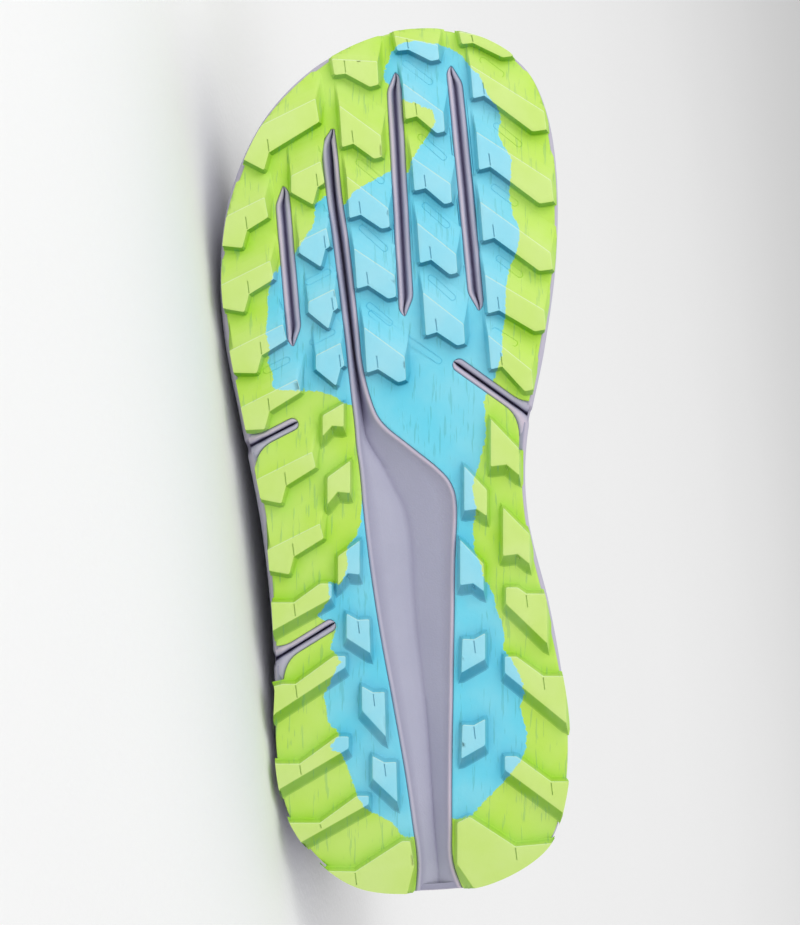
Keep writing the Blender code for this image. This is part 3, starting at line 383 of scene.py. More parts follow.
def edge(place):
    """Plan point on the widest line of the sole, and the outward normal there."""
    step = 0.02
    point = plan(*outline_at(place)[:2])
    along = plan(*outline_at(place + step)[:2]) - plan(*outline_at(place - step)[:2])
    normal = np.array([along[1], -along[0]])
    return point, normal / np.linalg.norm(normal)


def inset(place, distance):
    """Plan point that lies inside the widest line by a distance."""
    point, normal = edge(place)
    return point - normal * distance


def rim(place):
    return outline_at(place)[2] * BALL_WIDTH


def feather(place):
    return outline_at(place)[3] * BALL_WIDTH


def ground(x):
    """Height of the tread above the plane of its flat middle: toe spring and heel bevel."""
    toe = max(0.0, x / LENGTH - TOE_BREAK) / (1 - TOE_BREAK)
    heel = max(0.0, HEEL_BREAK - x / LENGTH) / HEEL_BREAK
    return TOE_SPRING * toe**2 + HEEL_BEVEL * heel**2


def footbed(x):
    """Height of the top of the midsole above the tread, thinner towards the toe."""
    return STACK * (1 - TOE_THINNING * smooth((x / LENGTH - 0.5) / 0.5))


def ray_places():
    return [PLACES * i / RAYS for i in range(RAYS)]


def ray(place, levels):
    """Points of the upper's outside up one ray."""
    along, across, height, lean, rise, shoulder, fall = upper_at(place)
    normal = edge(place)[1]
    foot = inset(place, feather(place))
    start = np.array([*foot, ground(foot[0]) + footbed(foot[0]) + CLEARANCE + FEATHER_RISE])
    end = np.array([*plan(along, across), height * INSTEP_HEIGHT])
    up = np.array([0.0, 0.0, end[2] - start[2]])
    out = foot - end[:2] + normal * UPPER_LEAN_IN * BALL_WIDTH
    out = np.array([*(out / np.linalg.norm(out)), 0.0])
    first = start + up * rise + np.array([*normal, 0.0]) * lean * BALL_WIDTH
    second = end + out * shoulder * BALL_WIDTH - np.array([0, 0, fall * BALL_WIDTH])
    t = np.clip((levels - FEATHER_PLACE) / (1 - FEATHER_PLACE), 0, 1)[:, None]
    curve = (1 - t) ** 3 * start + 3 * (1 - t) ** 2 * t * first + 3 * (1 - t) * t**2 * second + t**3 * end
    curve[:, 2] -= FEATHER_RISE * np.clip(1 - levels / FEATHER_PLACE, 0, 1)
    return curve


def upper_point(place, level):
    """Point on the outside of the upper: level 0 at the sole, 1 at the top line."""
    return ray(place, np.array([level]))[0]


def upper_normal(place, level):
    """Outward normal of the upper."""
    step = 0.004
    low = max(level - step, 0.0)
    high = min(level + step, 1.0)
    around = upper_point(place + 0.05, level) - upper_point(place - 0.05, level)
    along = upper_point(place, high) - upper_point(place, low)
    normal = np.cross(around, along)
    return normal / np.linalg.norm(normal)


def off_upper(place, level, distance):
    """Point at a distance outside the upper's surface, or inside where it is negative."""
    return upper_point(place, level) + upper_normal(place, level) * distance


def ray_length(place):
    return np.linalg.norm(np.diff(ray(place, np.linspace(0, 1, RAY_PARTS)), axis=0), axis=1).sum()


def level_below_top(place, distance):
    """Level that lies a distance below the top line, measured down the ray."""
    return 1 - distance / ray_length(place)


def lip_top(place):
    """Height of the top of the midsole's lip."""
    x = inset(place, feather(place))[0]
    return ground(x) + footbed(x) + LIP_HEIGHT


def level_at_height(place, height):
    """Lowest level at which the upper reaches a height."""
    low, high = 0.0, 1.0
    for _ in range(24):
        middle = (low + high) / 2
        if upper_point(place, middle)[2] < height:
            low = middle
        else:
            high = middle
    return high


def counterclockwise(polygon):
    area = sum(a[0] * b[1] - a[1] * b[0] for a, b in zip(polygon, polygon[1:] + polygon[:1]))
    return polygon if area > 0 else polygon[::-1]


def grown(polygon, distance):
    """Polygon whose edges are moved out by a distance that depends on their outward normal."""
    count = len(polygon)
    lines = []
    for i in range(count):
        start, end = polygon[i], polygon[(i + 1) % count]
        way = (end - start) / np.linalg.norm(end - start)
        normal = np.array([way[1], -way[0]])
        lines.append((normal, normal @ start + distance(normal)))
    corners = []
    for i in range(count):
        (first, reach), (second, other_reach) = lines[i - 1], lines[i]
        if abs(first[0] * second[1] - first[1] * second[0]) < 0.001:
            corners.append(polygon[i] + second * (other_reach - second @ polygon[i]))
            continue
        corners.append(np.linalg.solve(np.array([first, second]), np.array([reach, other_reach])))
    return corners


def wing(along, across, width, drop, inner, outer):
    """Chevron of the forefoot, from its high inner corner outwards."""
    w = width * BALL_WIDTH
    d, h, o = drop * LENGTH, inner * LENGTH, outer * LENGTH
    notch = min(WING_NOTCH, 0.5 * w)
    corners = [(0, 0), (-d, w), (-d - o, WING_TOE_SIDE * w), (-d - WING_OUTER_FALL * o, WING_HEEL_SIDE * w),
               (-WING_KNEE_RISE * h, notch), (-h, WING_LEAN)]
    return [plan(along, across) + corner for corner in corners]


def hook(along, across, thickness, arm, reach, outer):
    """Lateral lug that runs out to the edge and hooks down towards the heel."""
    t, o = thickness * LENGTH, outer * LENGTH
    a, r = arm * BALL_WIDTH, reach * BALL_WIDTH
    elbow = -t - HOOK_ARM_SLOPE * a
    corners = [(0, 0), (-t, HOOK_STEP), (elbow, HOOK_STEP - a), (elbow - HOOK_DEPTH, -HOOK_TIP - a),
               (-HOOK_SLOPE * r - o, -r), (-HOOK_SLOPE * r, -r)]
    return [plan(along, across) + corner for corner in corners]


def tooth(along, across, width, drop, tall, short, side):
    w = width * BALL_WIDTH * side
    d, t, s = drop * LENGTH, tall * LENGTH, short * LENGTH
    corners = [(0, 0), (-d, w), (-d - s, w), (-TOOTH_KNEE_RISE * t, TOOTH_KNEE * w), (-t, 0)]
    return [plan(along, across) + corner for corner in corners]


def arrow(along, across, width, tall, short, side):
    w = width * BALL_WIDTH * side
    t, s = tall * LENGTH, short * LENGTH
    rise = ARROW_RISE * abs(w)
    corners = [(0, 0), (-ARROW_CREASE * rise, w / 2), (rise, w), (rise - s, w), (-t, -ARROW_LEAN * w)]
    return [plan(along, across) + corner for corner in corners]


def blade(along, across, flat, run, tip, height, side):
    """Heel lug that runs in from the edge and rises towards the toe."""
    f, r = flat * BALL_WIDTH * -side, run * BALL_WIDTH * -side
    end = f + r - side * BLADE_TIP
    rise = BLADE_RISE * abs(r)
    corners = [(0, 0), (0, f), (rise, f + r), (rise, end), (rise - tip * LENGTH, end),
               (-height * LENGTH, 0)]
    return [plan(along, across) + corner for corner in corners]


def lug_polygons():
    """Tops of all the lugs, each with the end of the shoe that its ramp faces and its knee."""
    families = [(wing, WINGS, 1, 4), (hook, HOOKS, 1, 2), (tooth, TEETH, -1, 3),
                (arrow, ARROWS, -1, 1), (blade, BLADES, -1, 1)]
    lugs = [(shape(*row), facing, knee) for shape, rows, facing, knee in families for row in rows]
    plates = [([plan(*corner) for corner in corners], -1, 1 + i) for i, corners in enumerate(HEEL_PLATES)]
    return lugs + plates


def throat_share(pair):
    """Way along the throat of a pair of eyelets, from the toe tip's place to the top eyelets."""
    return EYELET_START + EYELET_SPAN * (pair / (EYELET_PAIRS - 1)) ** 0.7


def eyelet_places():
    """Place and level of each eyelet, pair by pair from the toe end of the throat."""
    pairs = []
    for i in range(EYELET_PAIRS):
        places = [TOE_PLACE + (top - TOE_PLACE) * throat_share(i) for top in THROAT_TOP]
        pairs.append([(place, level_below_top(place, EYELET_INSET)) for place in places])
    return pairs


def tongue_section(share):
    """Outer line of the tongue across the throat: share 0 at the toe end, 1 at the top eyelets."""
    way = TONGUE_START + (1 - TONGUE_START) * share
    lateral, medial = [TOE_PLACE + (top - TOE_PLACE) * way for top in THROAT_TOP]
    sink = -UPPER_WALL - TONGUE_CLEARANCE
    wing_width = TONGUE_WING * (0.5 + 0.5 * smooth(share * 2))
    points = [off_upper(lateral, level_below_top(lateral, d), sink)
              for d in (wing_width, 0.5 * wing_width, 0.001)]
    other = [off_upper(medial, level_below_top(medial, d), sink)
             for d in (0.001, 0.5 * wing_width, wing_width)]
    left, right = points[-1], other[0]
    lift = upper_normal(lateral, 1.0) + upper_normal(medial, 1.0)
    lift = lift / np.linalg.norm(lift) * TONGUE_CROWN
    for s in (0.25, 0.5, 0.75):
        points.append(left + (right - left) * s + lift * math.sin(math.pi * s) * min(1, 3 * share))
    return points + other


def through(route, share):
    """Point on the smooth curve through a route's points."""
    row = min(int(share * (len(route) - 1)), len(route) - 2)
    s = share * (len(route) - 1) - row
    low, high = route[row], route[row + 1]
    before = route[row - 1] if row else 2 * low - high
    after = route[row + 2] if row + 2 < len(route) else 2 * high - low
    return low + 0.5 * s * (high - before + s * (
        2 * before - 5 * low + 4 * high - after + s * (3 * (low - high) + after - before)
    ))


def lace_landing(pair, side, heelward):
    """Points of a lace above an eyelet and above the edge of the throat, and the normal there."""
    place, level = eyelet_places()[pair][side]
    above = OVERLAY_GAP + OVERLAY_WALL + CLEARANCE + LACE_THICK
    to_heel = LACE_STEP if side else -LACE_STEP
    way = upper_point(place + to_heel, level) - upper_point(place, level)
    shift = LACE_WIDTH * (LACE_GATHER / 2 + LACE_APART) * heelward
    point = off_upper(place, level, above) + way / np.linalg.norm(way) * shift
    edge_place = place + LACE_SLANT * to_heel * heelward
    edge_point = off_upper(edge_place, level_below_top(edge_place, EYESTAY_SETBACK), above)
    return point, edge_point, upper_normal(place, level)


def frame_turn():
    """Turn that lays the shoe on its side, from the way that the tread faces."""
    up = -np.array(frame["record"]["mounts"][0]["axis"])
    back = np.cross((0.0, 1.0, 0.0), up)
    back /= np.linalg.norm(back)
    return np.array([back, np.cross(up, back), up]).T


def insole_ring(extra, height):
    """Ring round the insole, that far inside its edge and that high above the footbed."""
    reach = UPPER_WALL + CLEARANCE + extra
    points = [inset(place, feather(place) + reach) for place in ray_places()]
    return [(*p, ground(p[0]) + footbed(p[0]) + CLEARANCE + height) for p in points]


TURN = frame_turn()
ORIGIN = (np.array(insole_ring(0, 0) + insole_ring(0, INSOLE - INSOLE_BEVEL)
                   + insole_ring(INSOLE_BEVEL, INSOLE)) @ TURN.T).min(axis=0) - np.array(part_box("insole")[0])


def to_row(points):
    """Points of the shoe's frame, laid on its side."""
    return np.asarray(points) @ TURN.T - ORIGIN


def way_to_row(way):
    return Vector(TURN @ np.asarray(way, dtype=float))


def mesh_from(points, faces):
    mesh = bpy.data.meshes.new("mesh")
    mesh.from_pydata([tuple(point) for point in points], [], faces)
    return mesh


def outward(mesh):
    """Closed mesh with its faces turned outwards."""
    shape = bmesh.new()
    shape.from_mesh(mesh)
    bmesh.ops.recalc_face_normals(shape, faces=shape.faces)
    if shape.calc_volume(signed=True) < 0:
        bmesh.ops.reverse_faces(shape, faces=shape.faces)
    shape.to_mesh(mesh)
    shape.free()
    return mesh


def welded(mesh, distance, turned=False):
    """Mesh with its near points merged, and its faces turned to one side if asked."""
    shape = bmesh.new()
    shape.from_mesh(mesh)
    bmesh.ops.remove_doubles(shape, verts=shape.verts, dist=distance)
    if turned:
        bmesh.ops.recalc_face_normals(shape, faces=shape.faces)
    shape.to_mesh(mesh)
    shape.free()
    return mesh


def joined(meshes):
    """One mesh that holds several shapes."""
    points, faces, count = [], [], 0
    for mesh in meshes:
        points.extend(tuple(vertex.co) for vertex in mesh.vertices)
        faces.extend(tuple(count + i for i in polygon.vertices) for polygon in mesh.polygons)
        count += len(mesh.vertices)
    return mesh_from(points, faces)


def rings_faces(rows, count, closed_rows=False, closed_columns=True):
    """Quads between rows of equally many points."""
    faces = []
    for row in range(rows if closed_rows else rows - 1):
        low, high = row * count, (row + 1) % rows * count
        for i in range(count if closed_columns else count - 1):
            j = (i + 1) % count
            faces.append((low + i, low + j, high + j, high + i))
    return faces


def grid_shell(outer, inner):
    """Closed skin between two grids of points, joined round their borders."""
    rows, columns = outer.shape[:2]
    count = rows * columns
    faces = rings_faces(rows, columns, closed_columns=False)
    faces += [tuple(i + count for i in face[::-1]) for face in faces]
    border = [(0, j) for j in range(columns)] + [(i, columns - 1) for i in range(1, rows)]
    border += [(rows - 1, j) for j in range(columns - 2, -1, -1)] + [(i, 0) for i in range(rows - 2, 0, -1)]
    flat = [i * columns + j for i, j in border]
    faces += [(a, b, b + count, a + count) for a, b in zip(flat, flat[1:] + flat[:1])]
    return outward(mesh_from(np.concatenate([outer.reshape(-1, 3), inner.reshape(-1, 3)]), faces))


def inside(points, polygon):
    """Which of the points lie inside a polygon."""
    x, y = points[:, 0], points[:, 1]
    hit = np.zeros(len(points), dtype=bool)
    for a, b in zip(polygon, np.roll(polygon, -1, axis=0)):
        crosses = (a[1] > y) != (b[1] > y)
        with np.errstate(divide="ignore", invalid="ignore"):
            at = (b[0] - a[0]) * (y - a[1]) / (b[1] - a[1]) + a[0]
        hit ^= crosses & (x < at)
    return hit


def nearest_on(points, starts, ends):
    """Nearest spot to each point on the stretches between starts and ends, and its distance."""
    best, nearest = np.full(len(points), np.inf), points.copy()
    for a, b in zip(starts, ends):
        way = b - a
        spots = a + np.clip((points - a) @ way / (way @ way), 0, 1)[:, None] * way
        gap = np.einsum("ij,ij->i", points - spots, points - spots)
        closer = gap < best
        best[closer], nearest[closer] = gap[closer], spots[closer]
    return nearest, np.sqrt(best)


def distance_to_loops(points, loops, limit):
    """Distance from each point to the nearest loop, exact up to a limit."""
    best = np.full(len(points), limit)
    for loop in loops:
        loop = np.asarray(loop)
        low, high = loop.min(axis=0) - limit, loop.max(axis=0) + limit
        near = np.flatnonzero(((points > low) & (points < high)).all(axis=1))
        for a, b in zip(loop, np.roll(loop, -1, axis=0)):
            low, high = np.minimum(a, b) - limit, np.maximum(a, b) + limit
            part = near[((points[near] > low) & (points[near] < high)).all(axis=1)]
            if len(part) and (a != b).any():
                best[part] = np.minimum(best[part], nearest_on(points[part], [a], [b])[1])
    return best


def rounded(polygon, radius, steps=3):
    """Counterclockwise polygon with its convex corners rounded."""
    result = []
    count = len(polygon)
    for i, corner in enumerate(polygon):
        before, after = polygon[i - 1] - corner, polygon[(i + 1) % count] - corner
        long_before, long_after = np.linalg.norm(before), np.linalg.norm(after)
        if before[0] * after[1] - before[1] * after[0] > 0:
            result.append(corner)
            continue
        cut = min(radius, 0.4 * long_before, 0.4 * long_after)
        first, last = corner + before / long_before * cut, corner + after / long_after * cut
        for t in np.linspace(0, 1, steps):
            result.append(first * (1 - t) ** 2 + 2 * corner * t * (1 - t) + last * t**2)
    return result


def floats(mesh, name, values, domain="POINT"):
    layer = mesh.attributes.new(name, "FLOAT", domain)
    layer.data.foreach_set("value", np.asarray(values, dtype=np.float32).ravel())


def vectors(mesh, name, values, domain="POINT"):
    layer = mesh.attributes.new(name, "FLOAT_VECTOR", domain)
    layer.data.foreach_set("vector", np.asarray(values, dtype=np.float32).ravel())


def coordinates(mesh):
    points = np.empty(3 * len(mesh.vertices))
    mesh.vertices.foreach_get("co", points)
    return points.reshape(-1, 3)


def sprung(mesh):
    """Lifts a flat sole's mesh by the toe spring and the heel bevel."""
    places = coordinates(mesh)
    places[:, 2] += [ground(x) for x in places[:, 0]]
    mesh.vertices.foreach_set("co", places.ravel())


def piece(name, mesh, material, replaces=(), sharp=None):
    """Object of the shoe made from a mesh in the shoe's frame."""
    points = coordinates(mesh)
    vectors(mesh, "shoe", points)
    mesh.vertices.foreach_set("co", to_row(points).ravel())
    mesh.materials.clear()
    mesh.materials.append(material)
    mesh.shade_smooth()
    if sharp:
        mesh.set_sharp_from_angle(angle=math.radians(sharp))
    mesh.update()
    item = bpy.data.objects.new(name, mesh)
    bpy.context.collection.objects.link(item)
    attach(item, "root")
    if replaces:
        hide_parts(*replaces)
    return item


# Materials

def srgb(red, green, blue):
    """Linear colour from its three screen values of 0 to 255."""
    values = [value / 255 for value in (red, green, blue)]
    return (*[v / 12.92 if v <= 0.04045 else ((v + 0.055) / 1.055) ** 2.4 for v in values], 1.0)


class Graph:
    """Nodes of one material, added one by one."""

    def __init__(self, name, roughness, **sockets):
        self.material = bpy.data.materials.new(name)
        self.material.use_nodes = True
        self.tree = self.material.node_tree
        self.shader = self.tree.nodes["Principled BSDF"]
        self.shader.inputs["Roughness"].default_value = roughness
        for socket, value in sockets.items():
            self.shader.inputs[socket.replace("_", " ")].default_value = value

    def link(self, value, socket):
        if isinstance(value, bpy.types.NodeSocket):
            self.tree.links.new(value, socket)
        else:
            socket.default_value = value

    def add(self, kind, inputs=(), **settings):
        item = self.tree.nodes.new("ShaderNode" + kind)
        for name, value in settings.items():
            setattr(item, name, value)
        for name, value in dict(inputs).items():
            self.link(value, item.inputs[name])
        return item

    def attribute(self, name):
        item = self.add("Attribute", attribute_name=name)
        return item.outputs["Fac"], item.outputs["Vector"]

    def math(self, operation, *values):
        item = self.add("Math", operation=operation)
        for value, socket in zip(values, item.inputs):
            self.link(value, socket)
        return item.outputs[0]

    def line(self, value, start, slope):
        return self.math("ADD", start, self.math("MULTIPLY", value, slope))

    def mapped(self, vector, scale):
        return self.add("Mapping", {"Vector": vector, "Scale": scale}).outputs[0]

    def noise(self, vector, scale, detail=2.0, roughness=0.5):
        inputs = {"Vector": vector, "Scale": scale, "Detail": detail, "Roughness": roughness}
        return self.add("TexNoise", inputs).outputs["Fac"]

    def cells(self, vector, scale, randomness=1.0, dimensions="3D"):
        inputs = {"Vector": vector, "Scale": scale, "Randomness": randomness}
        return self.add("TexVoronoi", inputs, voronoi_dimensions=dimensions).outputs["Distance"]

    def step(self, value, low, high):
        """0 below low, 1 above high, smooth between."""
        inputs = {"Value": value, "From Min": low, "From Max": high}
        return self.add("MapRange", inputs, interpolation_type="SMOOTHSTEP").outputs["Result"]

    def mix(self, share, first, second):
        return self.add("Mix", {0: share, 6: first, 7: second}, data_type="RGBA").outputs[2]

    def parts(self, vector):
        return self.add("SeparateXYZ", {"Vector": vector}).outputs

    def bump(self, height, distance, strength=1.0):
        """Bump under those that were added before."""
        item = self.add("Bump", {"Height": height, "Distance": distance, "Strength": strength})
        if self.shader.inputs["Normal"].links:
            self.link(self.shader.inputs["Normal"].links[0].from_socket, item.inputs["Normal"])
        self.link(item.outputs[0], self.shader.inputs["Normal"])

    def set(self, **sockets):
        for socket, value in sockets.items():
            self.link(value, self.shader.inputs[socket.replace("_", " ")])
        return self.material


# Rubber colours: base is the rubber's own colour; top is a painted highlight for lug tops and ramp crests;
# foot, wall and slope are painted shade at the lug feet, on the lug walls and on the heel-facing slopes of
# heel lugs.
GREEN = {"base": srgb(190, 228, 84), "top": srgb(200, 229, 118), "foot": srgb(160, 220, 14),
         "wall": srgb(108, 168, 8), "slope": srgb(132, 184, 38)}
BLUE = {"base": srgb(104, 212, 236), "top": srgb(140, 217, 237), "foot": srgb(84, 196, 226),
        "wall": srgb(14, 122, 152), "slope": srgb(66, 160, 190)}


# Own rubber colour with the painted shade and painted highlight of the tread mixed in.
def rubber_with_painted_light(graph, colours, top, wall, foot, slope):
    colour = graph.mix(foot, colours["base"], colours["foot"])
    colour = graph.mix(top, colour, colours["top"])
    colour = graph.mix(slope, colour, colours["slope"])
    return graph.mix(wall, colour, colours["wall"])


def tread_rubber():
    """Moulded rubber in two colours that meet on an uneven line, with a painted highlight on lug tops and top
    edges and painted shade on walls, slopes and lug feet.
    """
    graph = Graph("tread_rubber", 0.5, Specular_IOR_Level=0.4)
    shoe = graph.attribute("shoe")[1]
    reach = graph.attribute("blue")[0]
    # Painted light: top is a painted highlight; wall, foot and slope are painted shade.
    top, wall, foot = graph.parts(graph.attribute("shade")[1])[:3]
    slope = graph.attribute("slope")[0]
    rough = graph.noise(shoe, 700, 3.0, 0.65)
    wander = graph.math("MULTIPLY", graph.math("SUBTRACT", rough, 0.5), 0.0022)
    mask = graph.step(graph.math("ADD", reach, wander), -0.00012, 0.00012)
    green = rubber_with_painted_light(graph, GREEN, top, wall, foot, slope)
    blue = rubber_with_painted_light(graph, BLUE, top, wall, foot, slope)
    colour = graph.mix(mask, green, blue)
    # Painted highlight along the top edges of the lugs.
    ridge = graph.attribute("ridge")[0]
    colour = graph.mix(graph.math("MULTIPLY", ridge, 0.45), colour, srgb(236, 246, 216))
    cloud = graph.step(graph.noise(shoe, 60, 3.0), 0.25, 0.75)
    colour = graph.mix(graph.math("MULTIPLY", cloud, 0.10), colour, srgb(255, 255, 235))
    flow = graph.mapped(shoe, (90, 900, 90))
    hair = graph.step(graph.noise(flow, 1.0, 2.0, 0.6), 0.59, 0.67)
    hair = graph.math("MULTIPLY", hair, graph.math("SUBTRACT", 1.0, top))
    colour = graph.mix(graph.math("MULTIPLY", hair, 0.24), colour, srgb(60, 150, 130))
    graph.bump(graph.noise(shoe, 2600, 2.0), 0.00003)
    graph.bump(graph.noise(shoe, 140, 3.0), 0.00012)
    graph.bump(hair, 0.00005)
    return graph.set(Base_Color=colour, Roughness=graph.line(rough, 0.42, 0.2))


def foam():
    """Moulded foam with a fine skin, with painted shade down in its openings and a painted highlight on their
    rims.
    """
    graph = Graph("foam", 0.62, Specular_IOR_Level=0.35)
    shoe = graph.attribute("shoe")[1]
    depth, painted_rim_highlight = graph.parts(graph.attribute("shade")[1])[:2]
    cloud = graph.noise(shoe, 45, 3.0)
    colour = graph.mix(cloud, srgb(168, 168, 189), srgb(184, 183, 202))
    # Painted shade down in the openings.
    colour = graph.mix(depth, colour, srgb(112, 107, 140))
    # Painted highlight on the rims.
    colour = graph.mix(painted_rim_highlight, colour, srgb(212, 196, 210))
    graph.bump(graph.cells(shoe, 1500), 0.00004)
    graph.bump(graph.noise(shoe, 220, 3.0), 0.00010)
    return graph.set(Base_Color=colour)


# Tread

FINE = 0.0016
SIPE_LENGTH = 0.0046
SIPE_WIDTH = 0.00036
SIPE_DEPTH = 0.0005
SIPE_LEAN = 0.0005
RAMP = 0.0085
EDGE_ROUND = 0.0007
FOOT_SHADE = 0.0030
SIDE_SHADE = 0.3
PILL_SHADE = 0.55
SLIVER = 0.00002
SHEET_LATERAL = -0.58
SHEET_MEDIAL = 0.54
FINE_FIT = 0.0005
COARSE_FIT = 0.001

# Wall of a lug: height as a share from its top to the sheet, offset of a steep wall as a share of
# LUG_WALL, and offset of a ramp as a share of its run, forefoot and heel.
LUG_WALL = 0.0013
LUG_ROUND = 0.0006
RAMP_CURVE = 0.8
LUG_PROFILE = [
    (0.000, -0.18, 0.000, 0.000),
    (0.020, -0.05, 0.000, 0.000),
    (0.060, 0.00, 0.010, 0.040),
    (0.300, 0.22, 0.200, 0.280),
    (0.550, 0.45, 0.400, 0.550),
    (0.780, 0.66, 0.640, 0.800),
    (0.930, 0.85, 0.860, 0.960),
    (1.020, 1.15, 1.000, 1.060),
    (1.250, 1.15, 1.000, 1.060),
]

# Which way the two slanted ends of a forefoot groove point, 1 for medial; the notches have none.
GROOVE_ENDS = [(1, -1), (1, -1), (-1, 1)]
NOTCHES = GROOVES[3:]
GROOVE_POINT = 2.6
GROOVE_ROUND = 0.0016
NOTCH_FLARE = 0.0048
NOTCH_CURVE = 2.4
NOTCH_MOUTH = 0.0095

# Edge of the blue rubber, region by region, corner by corner: along, across.
BLUE_REGIONS = [
    [(0.977, 0.000), (0.980, 0.055), (0.974, 0.137), (0.966, 0.178), (0.948, 0.211),
     (0.939, 0.238), (0.922, 0.248), (0.903, 0.288), (0.886, 0.299), (0.876, 0.286),
     (0.858, 0.305), (0.845, 0.328), (0.821, 0.325), (0.801, 0.322), (0.780, 0.332),
     (0.763, 0.352), (0.741, 0.345), (0.721, 0.322), (0.695, 0.311), (0.665, 0.308),
     (0.644, 0.299), (0.626, 0.302), (0.600, 0.282), (0.574, 0.251), (0.571, 0.248),
     (0.530, 0.251), (0.510, 0.241), (0.489, 0.224), (0.471, 0.211), (0.448, 0.224),
     (0.427, 0.215), (0.401, 0.218), (0.383, 0.238), (0.367, 0.248), (0.354, 0.272),
     (0.338, 0.282), (0.317, 0.299), (0.304, 0.308), (0.289, 0.302), (0.281, 0.319),
     (0.262, 0.350), (0.239, 0.366), (0.224, 0.352), (0.195, 0.372), (0.172, 0.369),
     (0.159, 0.345), (0.136, 0.299), (0.120, 0.258), (0.101, 0.212), (0.096, 0.163),
     (0.096, 0.110), (0.300, 0.090), (0.480, 0.020), (0.540, -0.080), (0.564, -0.137),
     (0.568, -0.168), (0.576, -0.197), (0.581, -0.244), (0.581, -0.305), (0.583, -0.378),
     (0.598, -0.371), (0.613, -0.388), (0.631, -0.382), (0.647, -0.395), (0.665, -0.388),
     (0.695, -0.388), (0.718, -0.365), (0.739, -0.305), (0.746, -0.294), (0.767, -0.254),
     (0.793, -0.251), (0.803, -0.217), (0.790, -0.175), (0.795, -0.157), (0.808, -0.130),
     (0.830, -0.036), (0.829, 0.027), (0.845, 0.037), (0.873, 0.084), (0.886, 0.104),
     (0.899, 0.097), (0.907, 0.050), (0.914, -0.003), (0.938, -0.050), (0.956, -0.036),
     (0.969, -0.023)],
    [(0.470, -0.113), (0.432, -0.113), (0.416, -0.130), (0.404, -0.157), (0.383, -0.154),
     (0.361, -0.171), (0.366, -0.211), (0.346, -0.207), (0.326, -0.244), (0.314, -0.187),
     (0.289, -0.204), (0.276, -0.167), (0.273, -0.180), (0.247, -0.211), (0.237, -0.224),
     (0.206, -0.211), (0.193, -0.177), (0.177, -0.211), (0.172, -0.174), (0.159, -0.157),
     (0.126, -0.130), (0.107, -0.097), (0.092, -0.023), (0.076, 0.010), (0.076, 0.060),
     (0.200, 0.020), (0.350, -0.060)],
]

# Raised pill-shaped outlines on the base: along and across of the middle, length, slant in degrees.
PILLS = [
    (0.950, 0.272, 0.0100, -38),
    (0.944, 0.053, 0.0125, -38),
    (0.872, 0.318, 0.0120, -40),
    (0.858, 0.095, 0.0125, -42),
    (0.830, -0.088, 0.0120, -40),
    (0.803, 0.308, 0.0110, -38),
    (0.780, 0.106, 0.0120, -42),
    (0.754, -0.078, 0.0125, -42),
    (0.722, 0.322, 0.0110, -38),
    (0.710, -0.240, 0.0095, 27),
    (0.698, 0.123, 0.0120, -42),
    (0.668, -0.060, 0.0110, -40),
    (0.642, -0.228, 0.0095, 27),
    (0.642, 0.015, 0.0300, -35),
    (0.642, 0.308, 0.0100, -32),
    (0.610, -0.362, 0.0100, 27),
]
PILL_WIDTH = 0.0021
PILL_LINE = 0.00022


def groove_polygon(row, ends):
    """Plan of a forefoot groove, both ends cut on a slant."""
    along, across, end_along, end_across, width = row
    start, end = plan(along, across), plan(end_along, end_across)
    way = (end - start) / np.linalg.norm(end - start)
    half = width * BALL_WIDTH / 2
    out = np.array([way[1], -way[0]]) * half
    if out[1] < 0:
        out = -out
    head, tail = ends
    short, long = half, GROOVE_POINT * half
    corners = [
        start + out * head * 0.25, start + out * head + way * short,
        end + out * head - way * (short if head == tail else long), end + out * tail * 0.25,
        end - out * head - way * (long if head == tail else short), start - out * head + way * long,
    ]
    return rounded(counterclockwise(corners), GROOVE_ROUND, 5)


def notch_half_width(u, length, half):
    """Half the width of a notch at a distance from its round end: it flares at the mouth."""
    if u < half:
        return math.sqrt(max(0.0, half**2 - (half - u) ** 2))
    flare = max(0.0, (u - length + NOTCH_MOUTH) / NOTCH_MOUTH)
    return half + NOTCH_FLARE * flare**NOTCH_CURVE


def notch_frame(row):
    """Start, way and side of a notch, its length and half width."""
    along, across, end_along, end_across, width = row
    start, end = plan(along, across), plan(end_along, end_across)
    length = np.linalg.norm(end - start)
    way = (end - start) / length
    side = np.array([-way[1], way[0]])
    half = width * BALL_WIDTH / 2
    border = np.array([inset(place, 0.0) for place in np.arange(0, PLACES, BORDER_STEP)])
    reach = np.linspace(0, 1.5 * length, 300)
    within = inside(start + reach[:, None] * way, border)
    return start - way * half, way, side, reach[np.flatnonzero(within)[-1]] + half, half


def notch_polygon(row):
    start, way, side, length, half = notch_frame(row)
    stations = [*(half * (1 - math.cos(t)) for t in np.linspace(0.3, math.pi / 2, 5)),
                *np.linspace(2 * half, length - 0.012, 4), *np.linspace(length - 0.010, length + 0.004, 10)]
    right = [start + way * u + side * notch_half_width(u, length, half) for u in stations]
    left = [start + way * u - side * notch_half_width(u, length, half) for u in reversed(stations)]
    return counterclockwise([start, *right, *left])


def channel_edges(share):
    """Along in metres, and the lateral and medial edge of the channel, down its table."""
    along, lateral, medial = through(np.array(CHANNEL), share)
    return along * LENGTH, lateral * BALL_WIDTH, medial * BALL_WIDTH


def channel_polygon():
    rows = [channel_edges(share) for share in np.linspace(0, 1, 90)]
    points = [np.array([x, left]) for x, left, _ in rows]
    points += [np.array([x, right]) for x, _, right in reversed(rows)]
    return counterclockwise(points)


def sheet_holes():
    holes = [groove_polygon(row, ends) for row, ends in zip(GROOVES, GROOVE_ENDS)]
    return holes + [channel_polygon()] + [notch_polygon(row) for row in NOTCHES]


